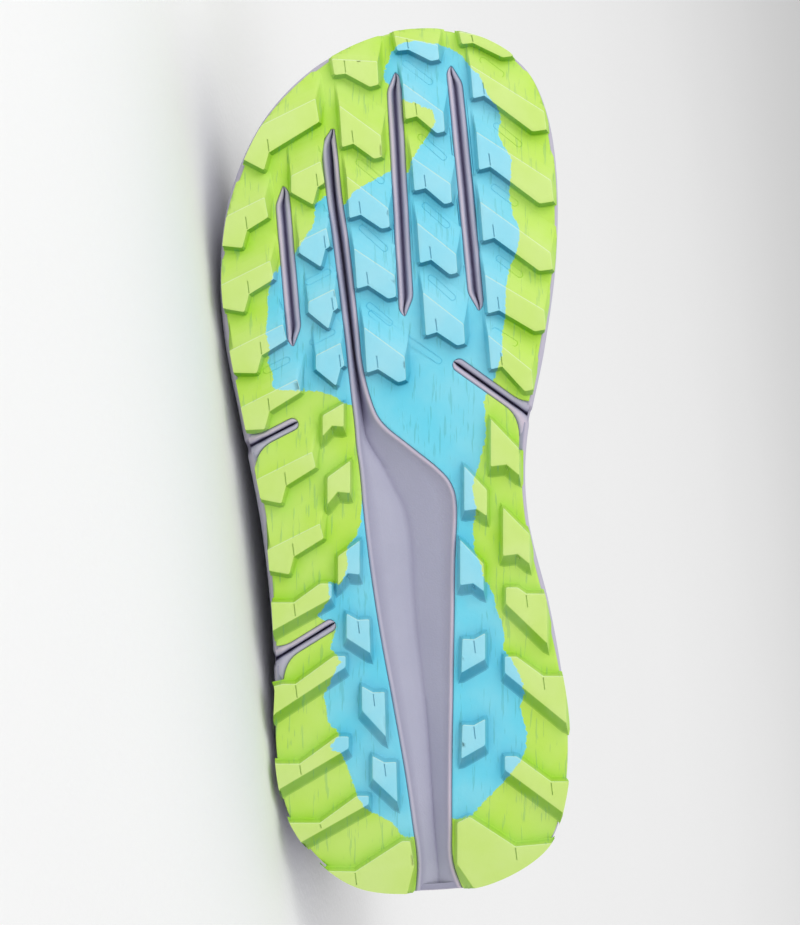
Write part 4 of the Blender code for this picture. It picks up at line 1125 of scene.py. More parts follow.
def blue_reach(points):
    """Distance inside the edge of the blue rubber, negative in the green."""
    loops = [np.array([plan(*corner) for corner in region]) for region in BLUE_REGIONS]
    within = np.zeros(len(points), dtype=bool)
    for loop in loops:
        within |= inside(points, loop)
    distance = distance_to_loops(points, loops, 0.004)
    return np.where(within, distance, -distance)


def kept_on_sheet(points, starts, border, holes):
    """Plan points drawn back towards their starts where they lie off the rubber."""
    points = points.copy()
    for loop, keep in [(border, True)] + [(hole, False) for hole in holes]:
        off = np.flatnonzero(inside(points, loop) != keep)
        if not len(off):
            continue
        lost = inside(starts[off], loop) != keep
        points[off[lost]] = nearest_on(points[off[lost]], loop, np.roll(loop, -1, axis=0))[0]
        off = off[~lost]
        low, high = np.zeros(len(off)), np.ones(len(off))
        for _ in range(9):
            middle = (low + high) / 2
            here = starts[off] + (points[off] - starts[off]) * middle[:, None]
            good = inside(here, loop) == keep
            low, high = np.where(good, middle, low), np.where(good, high, middle)
        points[off] = starts[off] + (points[off] - starts[off]) * low[:, None]
    return points


def closed(line):
    return [*line, line[0]]


def filled(loops, grid, tolerance, rings=(), lines=()):
    """Triangles inside the first loop and outside the others, along further rings and lines."""
    points, edges = [], []
    for ring in (*loops, *rings):
        first = len(points)
        edges.extend((first + i, first + (i + 1) % len(ring)) for i in range(len(ring)))
        points.extend(ring)
    for line in lines:
        first = len(points)
        edges.extend((first + i, first + i + 1) for i in range(len(line) - 1))
        points.extend(line)
    points = [Vector(point) for point in (*points, *grid)]
    verts, _, faces, *_ = delaunay_2d_cdt(points, edges, [], 0, tolerance, False)
    verts = np.array([tuple(v) for v in verts])
    faces = np.array([face for face in faces if len(face) == 3])
    middle = verts[faces].mean(axis=1)
    kept = inside(middle, np.array(loops[0]))
    for loop in loops[1:]:
        kept &= ~inside(middle, np.array(loop))
    return verts, faces[kept]


def pruned(verts, faces):
    """Points and faces without the points that no face has."""
    used, faces = np.unique(faces, return_inverse=True)
    return verts[used], faces.reshape(-1, 3)


def split_edges(ring, counts):
    """Ring with its edges divided into given numbers of parts."""
    points = []
    for a, b, count in zip(ring, closed(ring)[1:], counts):
        points.extend(a + (b - a) * i / count for i in range(count))
    return np.array(points)


def sipe_outline(polygon, facing, knee, length):
    """Plan of the thin slit that runs into a lug from its knee."""
    start = polygon[knee] + np.array([SIPE_LEAN * facing, 0.0])
    end = polygon[knee] + np.array([length * facing, -SIPE_LEAN * facing])
    side = np.array([0.0, SIPE_WIDTH / 2])
    return counterclockwise([start - side, end - side, end + side, start + side])


def cap(ring, slit, spacing):
    """Triangles across a ring, open at the slit: points and faces."""
    low, high = ring.min(axis=0), ring.max(axis=0)
    grid = np.array([(x, y) for x in np.arange(low[0], high[0], spacing)
                     for y in np.arange(low[1], high[1], spacing)])
    grid = grid[distance_to_loops(grid, [ring, slit], spacing) > 0.4 * spacing]
    loops = [ring * MILLI, np.array(slit) * MILLI]
    verts, faces = filled(loops, grid * MILLI, FINE_FIT)
    return verts / MILLI, faces[:, ::-1]


def lug_mesh(polygon, facing, knee, border, holes):
    """Lug with rounded edges, steep walls, one ramp and a slit, that sinks a little into the sheet."""
    top = rounded(counterclockwise(polygon), LUG_ROUND)
    counts = [max(1, math.ceil(np.linalg.norm(b - a) / FINE)) for a, b in zip(top, closed(top)[1:])]
    run, column = (RAMP, 2) if facing > 0 else (LUG_RAMP, 3)
    low, high = np.min(top, axis=0) - RAMP, np.max(top, axis=0) + RAMP
    holes = [hole for hole in holes
             if (hole.max(axis=0) > low).all() and (hole.min(axis=0) < high).all()]
    points = []
    starts = kept_on_sheet(split_edges(top, counts), split_edges(top, counts), border, holes)
    for row in LUG_PROFILE:
        wall = LUG_WALL * row[1]
        ramp = run * row[column]
        ring = grown(top, lambda normal: wall + ramp * max(0.0, normal[0] * facing) ** RAMP_CURVE)
        ring = kept_on_sheet(split_edges(ring, counts), starts, border, holes)
        points.extend((*p, row[0] * LUG_HEIGHT) for p in ring)
    count = sum(counts)
    walls = rings_faces(len(LUG_PROFILE), count)
    flat = np.array(points[:count])[:, :2]
    slit = sipe_outline(polygon, facing, knee, SIPE_LENGTH)
    for share in (0.8, 0.6, 0.4):
        if inside(np.array(slit), flat).all():
            break
        slit = sipe_outline(polygon, facing, knee, SIPE_LENGTH * share)
    verts, faces = cap(flat, slit, FINE)
    top_points = [(*p, 0.0) for p in verts]
    slit_points = [(*p, z) for z in (0.0, SIPE_DEPTH) for p in slit]
    slit_faces = [(i, (i + 1) % 4, 4 + (i + 1) % 4, 4 + i) for i in range(4)] + [(7, 6, 5, 4)]
    tops = [tuple(int(i) for i in face) for face in faces]
    return joined([mesh_from(points, walls), mesh_from(top_points, tops), mesh_from(slit_points, slit_faces)])


def steep_stretches(lugs):
    """Starts and ends of the lugs' steep edges, which darken the base beside them with painted shade."""
    starts, ends = [], []
    for polygon, facing, _ in lugs:
        corners = counterclockwise(polygon)
        for a, b in zip(corners, corners[1:] + corners[:1]):
            way = (b - a) / np.linalg.norm(b - a)
            if way[1] * facing < 0.25:
                starts.append(a)
                ends.append(b)
    return starts, ends


def sheet_mesh(lugs):
    """Base of the tread, open along the grooves, with rounded edges and painted shade at the lug feet."""
    border = [inset(place, rim(place)) for place in np.arange(0, PLACES, BORDER_STEP)]
    holes = sheet_holes()
    loops = [border] + holes
    rings = []
    for reach in (0.3 * EDGE_ROUND, EDGE_ROUND):
        rings.append(grown(counterclockwise(border), lambda normal: -reach))
        rings.extend(grown(counterclockwise(hole), lambda normal: reach) for hole in holes)
    rings.extend([plan(*corner) for corner in region] for region in BLUE_REGIONS)
    grid = []
    for i, x in enumerate(np.arange(0, LENGTH, FINE)):
        across = np.arange(SHEET_LATERAL * BALL_WIDTH + FINE / 2 * (i % 2), SHEET_MEDIAL * BALL_WIDTH, FINE)
        grid.extend((x, y) for y in across)
    scaled = [np.array(loop) * MILLI for loop in loops]
    rings = [np.array(ring) * MILLI for ring in rings]
    verts, faces = pruned(*filled(scaled, np.array(grid) * MILLI, COARSE_FIT, rings))
    verts /= MILLI
    gap = distance_to_loops(verts, loops, EDGE_ROUND)
    drop = EDGE_ROUND * 0.6 * (1 - np.sqrt(1 - np.clip(1 - gap / EDGE_ROUND, 0, 1) ** 2))
    shade = np.exp(-nearest_on(verts, *steep_stretches(lugs))[1] / FOOT_SHADE)
    return verts, faces, LUG_HEIGHT + drop, shade


def open_edges(faces):
    """Directed edges that only one face has."""
    sides = np.concatenate([faces[:, [0, 1]], faces[:, [1, 2]], faces[:, [2, 0]]])
    known = {tuple(side) for side in sides}
    return [(a, b) for a, b in known if (b, a) not in known]


def pill_mesh(along, across, length, slant):
    """Thin raised line round a long slot, half sunk in the base."""
    centre = plan(along, across)
    turn = math.radians(slant)
    way = np.array([math.sin(turn), math.cos(turn)])
    side = np.array([-way[1], way[0]])
    half, radius = length / 2 - PILL_WIDTH / 2, PILL_WIDTH / 2
    path = []
    for end in (1, -1):
        for t in np.linspace(-math.pi / 2, math.pi / 2, 7):
            path.append(centre + end * (way * (half + radius * math.cos(t)) + side * radius * math.sin(t)))
    points = []
    for p in path:
        out = (p - centre) / np.linalg.norm(p - centre)
        for reach, height in ((-1, 0.3), (0, -0.9), (1, 0.3)):
            points.append((*(p + out * reach * PILL_LINE), LUG_HEIGHT + height * PILL_LINE))
    count = len(path)
    faces = []
    for i in range(count):
        j = (i + 1) % count
        faces += [(3 * i + k, 3 * i + k + 1, 3 * j + k + 1, 3 * j + k) for k in range(2)]
    return mesh_from(points, faces)


def laid_on(mesh, ground_mesh):
    """Moves a thin relief from the plane of the sheet onto the surface that lies below each point."""
    polygons = [polygon.vertices for polygon in ground_mesh.polygons]
    tree = BVHTree.FromPolygons([vertex.co for vertex in ground_mesh.vertices], polygons)
    for vertex in mesh.vertices:
        hit = tree.ray_cast(Vector((vertex.co.x, vertex.co.y, -LUG_HEIGHT)), Vector((0, 0, 1)))[0]
        if hit and hit.z < 0.4 * LUG_HEIGHT:
            vertex.co.z = LUG_HEIGHT + SHEET / 2
        elif hit:
            vertex.co.z += min(hit.z, LUG_HEIGHT) - LUG_HEIGHT


def face_normals(mesh):
    normals = np.empty(3 * len(mesh.polygons))
    mesh.polygons.foreach_get("normal", normals)
    return normals.reshape(-1, 3)


def lugs_mesh(lugs):
    """All lugs, kept off the grooves and inside the edge of the sole."""
    border = np.array([inset(place, rim(place) - LUG_PROUD) for place in np.arange(0, PLACES, BORDER_STEP)])
    holes = [np.array(hole) for hole in sheet_holes()]
    return welded(joined([lug_mesh(*lug, border, holes) for lug in lugs]), SLIVER)


def lug_shade(mesh):
    """Painted light of each face: top, how pale it is painted as a highlight; wall, how dark it is painted as
    shade; slope, the painted shade of a heel lug's heel-facing slope; ridge, the painted highlight along the
    top edges.
    """
    normals = face_normals(mesh)
    centres = np.array([tuple(polygon.center) for polygon in mesh.polygons])
    rear = centres[:, 0] < 0.585 * LENGTH
    steep = 1 - np.clip((-normals[:, 2] - 0.55) / 0.35, 0, 1)
    to_heel = np.clip(-normals[:, 0] * 1.6, 0, 1)
    # Painted highlight on flat tops that face straight out.
    flat = np.clip((-normals[:, 2] - 0.93) / 0.05, 0, 1) * (centres[:, 2] < 0.5 * LUG_HEIGHT)
    height = np.clip(1 - centres[:, 2] / LUG_HEIGHT, 0, 1)
    # Painted highlight on forefoot ramps, growing towards their crest.
    ramp = (1 - steep) * ~rear * height**1.5 * 0.55
    # Painted shade on steep walls, darkest where they face the heel.
    wall = np.where(rear, 0.10, to_heel) * steep
    wall = np.maximum(wall, 0.30 * steep * (1 - to_heel))
    # Painted shade on the heel-facing slopes of heel lugs.
    slope = np.where(rear, to_heel, 0) * np.clip(-normals[:, 0] * 2.5, 0, 1)
    share = centres[:, 2] / LUG_HEIGHT
    # Painted highlight along the top edges, strongest where they face the toe.
    ridge = (normals[:, 2] > -0.995) * (share < 0.06) * np.clip(0.35 + normals[:, 0] * 2, 0, 1)
    # Painted shade on upright faces a tenth to a fifth of the way down the lug.
    upright_band_shade = (share > 0.1) * (share < 0.2) * (np.abs(normals[:, 2]) < 0.02)
    return np.maximum(flat, ramp), np.maximum(wall, 0.6 * upright_band_shade), slope, ridge


def tread(material):
    lugs = lug_polygons()
    flat, faces, heights, shade = sheet_mesh(lugs)
    count = len(flat)
    points = [(*p, z) for p, z in zip(flat, heights)]
    rims = open_edges(faces)
    deep = {}
    for a, _ in rims:
        deep[a] = len(points)
        points.append((*flat[a], LUG_HEIGHT + SHEET))
    sides = [(int(a), int(b), deep[b], deep[a]) for a, b in rims if b in deep]
    sheet = mesh_from(points, [tuple(int(i) for i in face[::-1]) for face in faces] + sides)
    shape = lugs_mesh(lugs)
    pills = joined([pill_mesh(*row) for row in PILLS])
    laid_on(pills, joined([sheet, shape]))
    whole = joined([sheet, shape, pills])
    base, tops = len(sheet.polygons), len(shape.polygons)
    # Painted highlight (top, ridge) and painted shade (wall, slope) of each lug face.
    top, wall, slope, ridge = lug_shade(shape)
    corner_ridge_highlight = np.zeros(len(whole.loops))
    places = coordinates(whole)
    # Painted shade low on the lugs beside the steep walls.
    lug_foot_shade = np.exp(-nearest_on(places[:, :2], *steep_stretches(lugs))[1] / FOOT_SHADE)
    lug_foot_shade *= np.clip(places[:, 2] / LUG_HEIGHT / 0.6 - 0.5, 0, 1)
    corner_shade = np.zeros((len(whole.loops), 3))
    corner_slope_shade = np.zeros(len(whole.loops))
    # Painted shade on the sheet at the lug feet, and a fixed painted shade on the sheet's edge walls.
    foot = np.concatenate([shade, [SIDE_SHADE] * (len(points) - count)])
    index = np.empty(len(whole.loops), dtype=int)
    whole.loops.foreach_get("vertex_index", index)
    for number, polygon in enumerate(whole.polygons):
        span = slice(polygon.loop_start, polygon.loop_start + polygon.loop_total)
        if number < base:
            # Sheet: painted shade at the lug feet, and painted shade on its edge walls.
            corner_shade[span, 2] = foot[index[span]]
            corner_shade[span, 1] = 0.35 if number >= len(faces) else 0.0
        elif number < base + tops:
            # Lugs: painted shade at their feet, painted highlight on tops and top edges, painted shade on
            # walls and slopes.
            corner_shade[span, 2] = lug_foot_shade[index[span]]
            corner_shade[span, 0] = top[number - base]
            corner_shade[span, 1] = wall[number - base]
            corner_slope_shade[span] = slope[number - base]
            corner_ridge_highlight[span] = ridge[number - base]
        else:
            # Pills: a fixed share of the painted foot shade.
            corner_shade[span, 2] = PILL_SHADE
    vectors(whole, "shade", corner_shade, "CORNER")
    floats(whole, "slope", corner_slope_shade, "CORNER")
    floats(whole, "ridge", corner_ridge_highlight, "CORNER")
    floats(whole, "blue", blue_reach(places[:, :2]))
    sprung(whole)
    return piece("tread", whole, material, ["outsole"], sharp=32)


# Midsole

FLOOR = LUG_HEIGHT + SHEET + CLEARANCE
SIDE_PLACES = 900
SIDE_STEPS = 22
CARVED_DEEP = 0.00035
CARVED_LINES = 55
LIP_SWELL = 0.0004
LIP_INSIDE = 0.0050
RIM_DEEP = 0.0009
GROOVE_SHOWN = 0.65
SLIT_HALF = 0.0010
NOTCH_CUT = 0.0016
MOUTH_DROP = 0.0012
MOUTH_RUN = 0.0020
STRIP_UNDER = 0.0006
CHANNEL_DEEP = 0.0052
CHANNEL_WIDEST = 2.2

# Foam beside an opening of the rubber: distance from its edge, depth below the rubber's face,
# and how dark it is painted as shade and how light it is painted as a highlight.
RIM_PROFILE = [
    (0.00000, 0.00100, 0.80, 0.0),
    (0.00022, 0.00055, 0.25, 0.1),
    (0.00060, 0.00026, 0.00, 0.5),
    (0.00100, 0.00024, 0.00, 0.8),
    (0.00140, 0.00050, 0.00, 0.4),
    (0.00175, 0.00110, 0.25, 0.1),
]

# Crease along the bottom of the channel: along, across.
CREASE = [
    (0.880, -0.199), (0.805, -0.195), (0.753, -0.175), (0.701, -0.158), (0.649, -0.143),
    (0.610, -0.131), (0.571, -0.114), (0.540, -0.106), (0.521, -0.098), (0.508, -0.064),
    (0.476, -0.022), (0.443, 0.022), (0.422, 0.036), (0.342, 0.041), (0.276, 0.062),
    (0.196, 0.084), (0.123, 0.095), (0.077, 0.104), (-0.012, 0.125),
]


def shoulder_in(place):
    """How far inside the widest line the foam's lower edge stands out past the rubber."""
    return max(rim(place) * 0.75, rim(place) - 0.0006)


def strip(rows, deep, dark):
    """Foam in a long opening: rows of left edge, right edge, crease share, two widenings, depth share; dark is
    the painted shade at the crease.
    """
    points, shades = [], []
    for left, right, share, wide_left, wide_right, depth in rows:
        width = np.linalg.norm(right - left)
        way = (right - left) / max(width, 1e-9)
        fit = min(1.0, 0.42 * width / RIM_PROFILE[-1][0] / max(wide_left, wide_right))
        crease = left + way * width * share
        # Painted shade under the rubber's edge.
        profile = [(-STRIP_UNDER, LUG_HEIGHT + SHEET * 0.6, 0.5, 0)]
        profile += [(reach * fit, LUG_HEIGHT + RIM_DEEP + (z - RIM_DEEP) * fit, shade, light)
                    for reach, z, shade, light in RIM_PROFILE]
        end, top = profile[-1][0], profile[-1][1]
        bottom = LUG_HEIGHT + RIM_DEEP + (deep * depth - RIM_DEEP) * fit
        sides = []
        for side, wide in ((1, wide_left), (-1, wide_right)):
            start = left if side > 0 else right
            # Painted highlight on the rims, full on the right edge and less on the left.
            highlight_share = 1 if side < 0 else 0.3
            line = [(start + way * side * reach * wide, z, shade, light * highlight_share)
                    for reach, z, shade, light in profile]
            inner = start + way * side * end * wide
            # Painted shade that grows towards the crease.
            for down in (0.3, 0.6, 0.85):
                spot, z = inner + (crease - inner) * down, top + (bottom - top) * down
                line.append((spot, z, dark * min(1, down + 0.4), 0))
            sides.append(line)
        middle = [(crease, bottom, dark, 0)]
        for p, z, shade, light in [*sides[0], *middle, *sides[1][::-1]]:
            points.append((*p, z))
            shades.append((shade, light, 0))
    count = len(points) // len(rows)
    points = np.array(points)
    border = np.array([inset(place, shoulder_in(place)) for place in np.arange(0, PLACES, BORDER_STEP)])
    off = ~inside(points[:, :2], border)
    points[off, :2] = nearest_on(points[off, :2], border, np.roll(border, -1, axis=0))[0]
    mesh = mesh_from(points, rings_faces(len(rows), count, closed_columns=False))
    return mesh, shades


def crossing(polygon, start, way, side, u):
    """Where the line across a long opening at a distance down it meets its edge."""
    hits = []
    for a, b in zip(polygon, polygon[1:] + polygon[:1]):
        low, high = (a - start) @ way - u, (b - start) @ way - u
        if (low > 0) != (high > 0):
            hits.append((a + (b - a) * low / (low - high) - start) @ side)
    return (min(hits), max(hits)) if hits else (0.0, 0.0)


def groove_strip(row, ends):
    polygon = groove_polygon(row, ends)
    start, end = plan(*row[:2]), plan(*row[2:4])
    way = (end - start) / np.linalg.norm(end - start)
    side = np.array([-way[1], way[0]])
    reach = [(p - start) @ way for p in polygon]
    rows = []
    for share in np.linspace(0.002, 0.998, 90):
        u = min(reach) + (max(reach) - min(reach)) * share
        low, high = crossing(polygon, start, way, side, u)
        rows.append((start + way * u + side * low, start + way * u + side * high, 0.5, 1, 1, 1))
    # Painted shade of 0.9 in the crease of the groove.
    return strip(rows, GROOVE_SHOWN * GROOVE_DEPTH, 0.9)


def notch_strip(row):
    start, way, side, length, half = notch_frame(row)
    rows = []
    for u in np.linspace(0.0001, length + 0.0006, 40):
        v = notch_half_width(u, length, half)
        middle = start + way * u
        wide = max(1.0, (v - SLIT_HALF * (1 - 0.5 * u / length)) / RIM_PROFILE[-1][0])
        rows.append((middle - side * v, middle + side * v, 0.5, wide, wide, 1))
    # Painted shade at full strength in the crease of the notch.
    mesh, shades = strip(rows, GROOVE_DEPTH, 1.0)
    places = coordinates(mesh)
    border = [inset(place, shoulder_in(place)) for place in np.arange(0, PLACES, BORDER_STEP)]
    gap = distance_to_loops(places[:, :2], [border], MOUTH_RUN)
    places[:, 2] += MOUTH_DROP * smooth(1 - gap / MOUTH_RUN)
    mesh.vertices.foreach_set("co", places.ravel())
    return mesh, shades


def channel_strip():
    rows = []
    crease_along, crease_across = np.array(CREASE[::-1]).T
    shares = np.linspace(0, 0.985, 240)
    edges = [channel_edges(share) for share in shares]
    bend = np.interp([x / LENGTH for x, _, _ in edges], crease_along, crease_across) * BALL_WIDTH
    bend = np.convolve(np.pad(bend, 7, mode="edge"), np.ones(15) / 15, mode="valid")
    for i, (x, left, right) in enumerate(edges):
        before, after = edges[max(i - 1, 0)], edges[min(i + 1, len(edges) - 1)]
        run = max(abs(after[0] - before[0]), 1e-5)
        wide = [math.hypot(1, (after[k] - before[k]) / run) for k in (1, 2)]
        share = min(max((bend[i] - left) / (right - left), 0.2), 0.8)
        depth = 1 - 0.5 * smooth((0.10 - x / LENGTH) / 0.10)
        wide = np.minimum(wide, CHANNEL_WIDEST)
        rows.append((np.array([x, left]), np.array([x, right]), share, *wide, depth))
    mesh, shades = strip(rows, CHANNEL_DEEP, 0.0)
    count = len(shades) // len(rows)
    # Painted shade: a dark valley where the channel is narrow, a dark crease line down the middle, and the
    # medial half painted darker than the lateral.
    dark = []
    for i, (x, left, right) in enumerate(edges):
        narrow = 1 - smooth(((right - left) - 0.005) / 0.009)
        for j in range(count):
            shade, light, _ = shades[i * count + j]
            middle = 1 - abs(j - (count - 1) / 2) / ((count - 1) / 2)
            valley_shade = smooth((middle - 0.45) / 0.5)
            plane = 0.15 if j > (count - 1) / 2 else 0.0
            crease = 0.40 * smooth((middle - 0.86) / 0.14)
            dark.append((max(shade, valley_shade * narrow * 0.85, crease, plane), light, 0))
    return mesh, dark


def side_shell():
    """Side of the foam, from under the rubber up to the lip round the upper and down inside it."""
    rows, shades = [], []
    notches = [notch_frame(row) for row in NOTCHES]
    for place in np.arange(SIDE_PLACES) * PLACES / SIDE_PLACES:
        far_in = feather(place) - LIP_WALL - CLEARANCE
        foot = inset(place, feather(place))
        top = footbed(foot[0]) + LIP_HEIGHT
        normal = edge(place)[1]
        under = FLOOR - CLEARANCE
        row = [(*inset(place, rim(place) + 0.0020), under - 0.4 * SHEET),
               (*inset(place, rim(place) + 0.0002), under - 0.5 * SHEET),
               (*inset(place, shoulder_in(place)), under - 0.3 * SHEET)]
        # Painted shade under the rubber's edge, and a painted highlight on the foam's shoulder.
        shade = [(0.3, 0), (0.35, 0), (0.05, 0.4)]
        for t in np.linspace(0.0, 1.0, SIDE_STEPS):
            height, share = through(np.array(SIDE_RINGS), t)
            point = inset(place, share * far_in)
            carved = CARVED_DEEP * max(0.0, math.sin(height * CARVED_LINES)) * (0.60 < height < 0.98)
            point = point - normal * carved
            row.append((*point, FLOOR + (top - FLOOR) * height))
            # A darker band where the side steps in, and a painted highlight low on the side.
            shade.append((0.12 * (0.50 < height < 0.58), 0.15 * (height < 0.3)))
        inner = inset(place, feather(place) - CLEARANCE)
        lip = inset(place, (feather(place) + far_in - CLEARANCE) / 2)
        row += [(*lip, top + LIP_SWELL), (*inner, top), (*inner, top - LIP_INSIDE)]
        shade += [(0, 0)] * 3
        points = np.array(row)
        for start, way, side, length, half in notches:
            u = (points[:, :2] - start) @ way
            v = np.abs((points[:, :2] - start) @ side)
            cut = np.clip(1.5 - v / (1.6 * SLIT_HALF), 0, 1) * (u > 0.5 * length)
            fade = np.clip(1.6 - (points[:, 2] - LUG_HEIGHT) / 0.0100, 0, 1)
            points[:, :2] -= way * (cut * fade * NOTCH_CUT)[:, None]
            points[:3, 2] += 0.0040 * cut[:3]
            # Painted shade in the notch slits.
            shade = [(max(dark, 0.8 * here), light) for (dark, light), here in zip(shade, cut * fade)]
        rows.append(points)
        shades.extend(shade)
    count = len(rows[0])
    points = np.concatenate(rows)
    faces = [face[::-1] for face in rings_faces(SIDE_PLACES, count, closed_rows=True, closed_columns=False)]
    return mesh_from(points, faces), [(dark, light, 0) for dark, light in shades]


def midsole(material):
    parts = [side_shell(), channel_strip()]
    parts += [groove_strip(row, ends) for row, ends in zip(GROOVES, GROOVE_ENDS)]
    parts += [notch_strip(row) for row in NOTCHES]
    top = [inset(place, feather(place) - CLEARANCE) for place in np.arange(120) * PLACES / 120]
    bed = mesh_from([(*p, footbed(p[0])) for p in top], [tuple(range(120))])
    parts.append((bed, [(0, 0, 0)] * 120))
    mesh = joined([part for part, _ in parts])
    vectors(mesh, "shade", [shade for _, shades in parts for shade in shades])
    sprung(mesh)
    return piece("foam_sole", mesh, material, ["midsole"], sharp=50)


# Upper and what is fixed to it

CHART_PLACES = 601
CHART_LEVELS = 81
CHART_WIDTH = 25.0
CHART_HEIGHT = 85.0
CHART_SCALE = np.array([CHART_WIDTH, CHART_HEIGHT])
CHART_NEAR = 4.0
CHART_FIT = 0.002
CHART_STEP = 3.3
SKIN_LIFT = 0.00012
WEAVE_RELIEF = 0.00015
EYELET_SLACK = 0.0003
ROLL_STEPS = 9
ROLL_RISE = 0.35
ROLL_WEAVE = 0.0006
STITCH_LENGTH = 0.0022
STITCH_STEP = 0.0031
STITCH_RADIUS = 0.00028
SEAM_INSET = 0.0016
COLLAR_SEAMS = (0.955, 0.93)
EYELET_RING = 0.0013
EYELET_SWELL = 0.00035
EYELET_FADE = 0.0009
LACE_SINK = 0.0045
LACE_OVER = 0.0012
LACE_RIM = 0.0004
LACE_ENDS = 0.9


def chart():
    """Points and normals of the upper's outside over places and levels, and the length of each ray."""
    levels = np.linspace(0, 1, CHART_LEVELS)
    skin = np.array([ray(place, levels) for place in np.linspace(0, PLACES, CHART_PLACES)])
    around = np.roll(skin[:-1], -1, axis=0) - np.roll(skin[:-1], 1, axis=0)
    around = np.concatenate([around, around[:1]])
    normals = np.cross(around, np.gradient(skin, axis=1))
    normals /= np.linalg.norm(normals, axis=2)[:, :, None]
    lengths = np.linalg.norm(np.diff(skin, axis=1), axis=2).sum(axis=1)
    return skin, normals, lengths


SKIN, SKIN_NORMALS, RAY_LENGTHS = chart()


def look_up(table, places, levels):
    """Values of a table of the chart at places and levels."""
    x = np.mod(places, PLACES) / PLACES * (CHART_PLACES - 1)
    y = np.clip(levels, 0, 1) * (CHART_LEVELS - 1)
    i, j = np.minimum(x.astype(int), CHART_PLACES - 2), np.minimum(y.astype(int), CHART_LEVELS - 2)
    u, v = (x - i)[:, None], (y - j)[:, None]
    low = table[i, j] * (1 - u) + table[i + 1, j] * u
    high = table[i, j + 1] * (1 - u) + table[i + 1, j + 1] * u
    return low * (1 - v) + high * v


def skin_points(spots, offset):
    """Points of the upper at spots of place and level, a distance outside its surface."""
    places, levels = np.asarray(spots).T
    return look_up(SKIN, places, levels) + look_up(SKIN_NORMALS, places, levels) * np.reshape(offset, (-1, 1))


def below_top(place, distance):
    """Level a distance below the top line."""
    return 1 - distance / np.interp(np.mod(place, PLACES), np.linspace(0, PLACES, CHART_PLACES), RAY_LENGTHS)


def pad_depth(places, levels):
    """Thickness of the collar's padding, which fades out towards the throat and the sole."""
    lateral, medial = THROAT_TOP
    places = np.mod(places, PLACES)
    from_heel = np.minimum(places, PLACES - places)
    end = np.where(places < TOE_PLACE, lateral, PLACES - medial)
    swelling = smooth((levels - PAD_START) / PAD_SWELL)
    swelling *= 1 - PAD_THINNED * smooth((levels - PAD_ROLL) / (1 - PAD_ROLL))
    return COLLAR_PAD * smooth((end - from_heel) / 2) * swelling


def chart_circle(place, level, radius, count=28):
    """Spots on a circle of the upper's surface."""
    step = 0.01
    here = skin_points([(place, level)], 0)[0]
    ways = np.array([skin_points([(place + step, level)], 0)[0] - here,
                     skin_points([(place, level + step)], 0)[0] - here]).T / step
    normal = np.cross(ways[:, 0], ways[:, 1])
    first = ways[:, 0] / np.linalg.norm(ways[:, 0])
    second = np.cross(normal / np.linalg.norm(normal), first)
    spots = []
    for turn in np.linspace(0, 2 * math.pi, count, endpoint=False):
        spoke = (first * math.cos(turn) + second * math.sin(turn)) * radius
        spots.append(np.array([place, level]) + np.linalg.lstsq(ways, spoke, rcond=None)[0])
    return spots


def chart_mesh(border, holes, step, lines=()):
    """Triangles over a region of the chart: spots, faces, and the distance of each spot to the edge."""
    loops = [np.array(loop) * CHART_SCALE for loop in (border, *holes)]
    low, high = loops[0].min(axis=0), loops[0].max(axis=0)
    grid = np.array([(x, y) for i, x in enumerate(np.arange(low[0], high[0], step))
                     for y in np.arange(low[1] + step / 2 * (i % 2), high[1], step)])
    grid = grid[inside(grid, loops[0])]
    grid = grid[distance_to_loops(grid, loops, step) > 0.45 * step]
    lines = [np.array(line) * CHART_SCALE for line in lines]
    verts, faces = pruned(*filled(loops, grid, CHART_FIT, lines=lines))
    return verts / CHART_SCALE, faces, distance_to_loops(verts, loops, CHART_NEAR) / MILLI


def skin_shell(border, holes, step, low, high, rounding=0.0006, lines=(), relief=None):
    """Closed skin over a region of the upper between two offsets, with rounded edges."""
    spots, faces, gap = chart_mesh(border, holes, step, lines)
    drop = (high - low) * 0.55 * (1 - np.sqrt(1 - np.clip(1 - gap / rounding, 0, 1) ** 2))
    outer = high - drop
    if relief is not None:
        outer = outer + relief(spots)
    count = len(spots)
    points = np.concatenate([skin_points(spots, outer), skin_points(spots, low)])
    sides = [(a, b, b + count, a + count) for a, b in open_edges(faces)]
    both = [tuple(face) for face in faces] + [tuple(face[::-1] + count) for face in faces]
    faces = [tuple(int(i) for i in face) for face in (*both, *(side[::-1] for side in sides))]
    return outward(mesh_from(points, faces))


def band(low, high, places):
    """Border of a region between two lines of levels, over a stretch of places."""
    lower = [(place, low(place)) for place in places]
    upper_line = [(place, high(place)) for place in reversed(places)]
    return lower + upper_line


def eyelet_circles(extra=0.0):
    return [chart_circle(*spot, EYELET_RADIUS + extra) for pair in eyelet_places() for spot in pair]


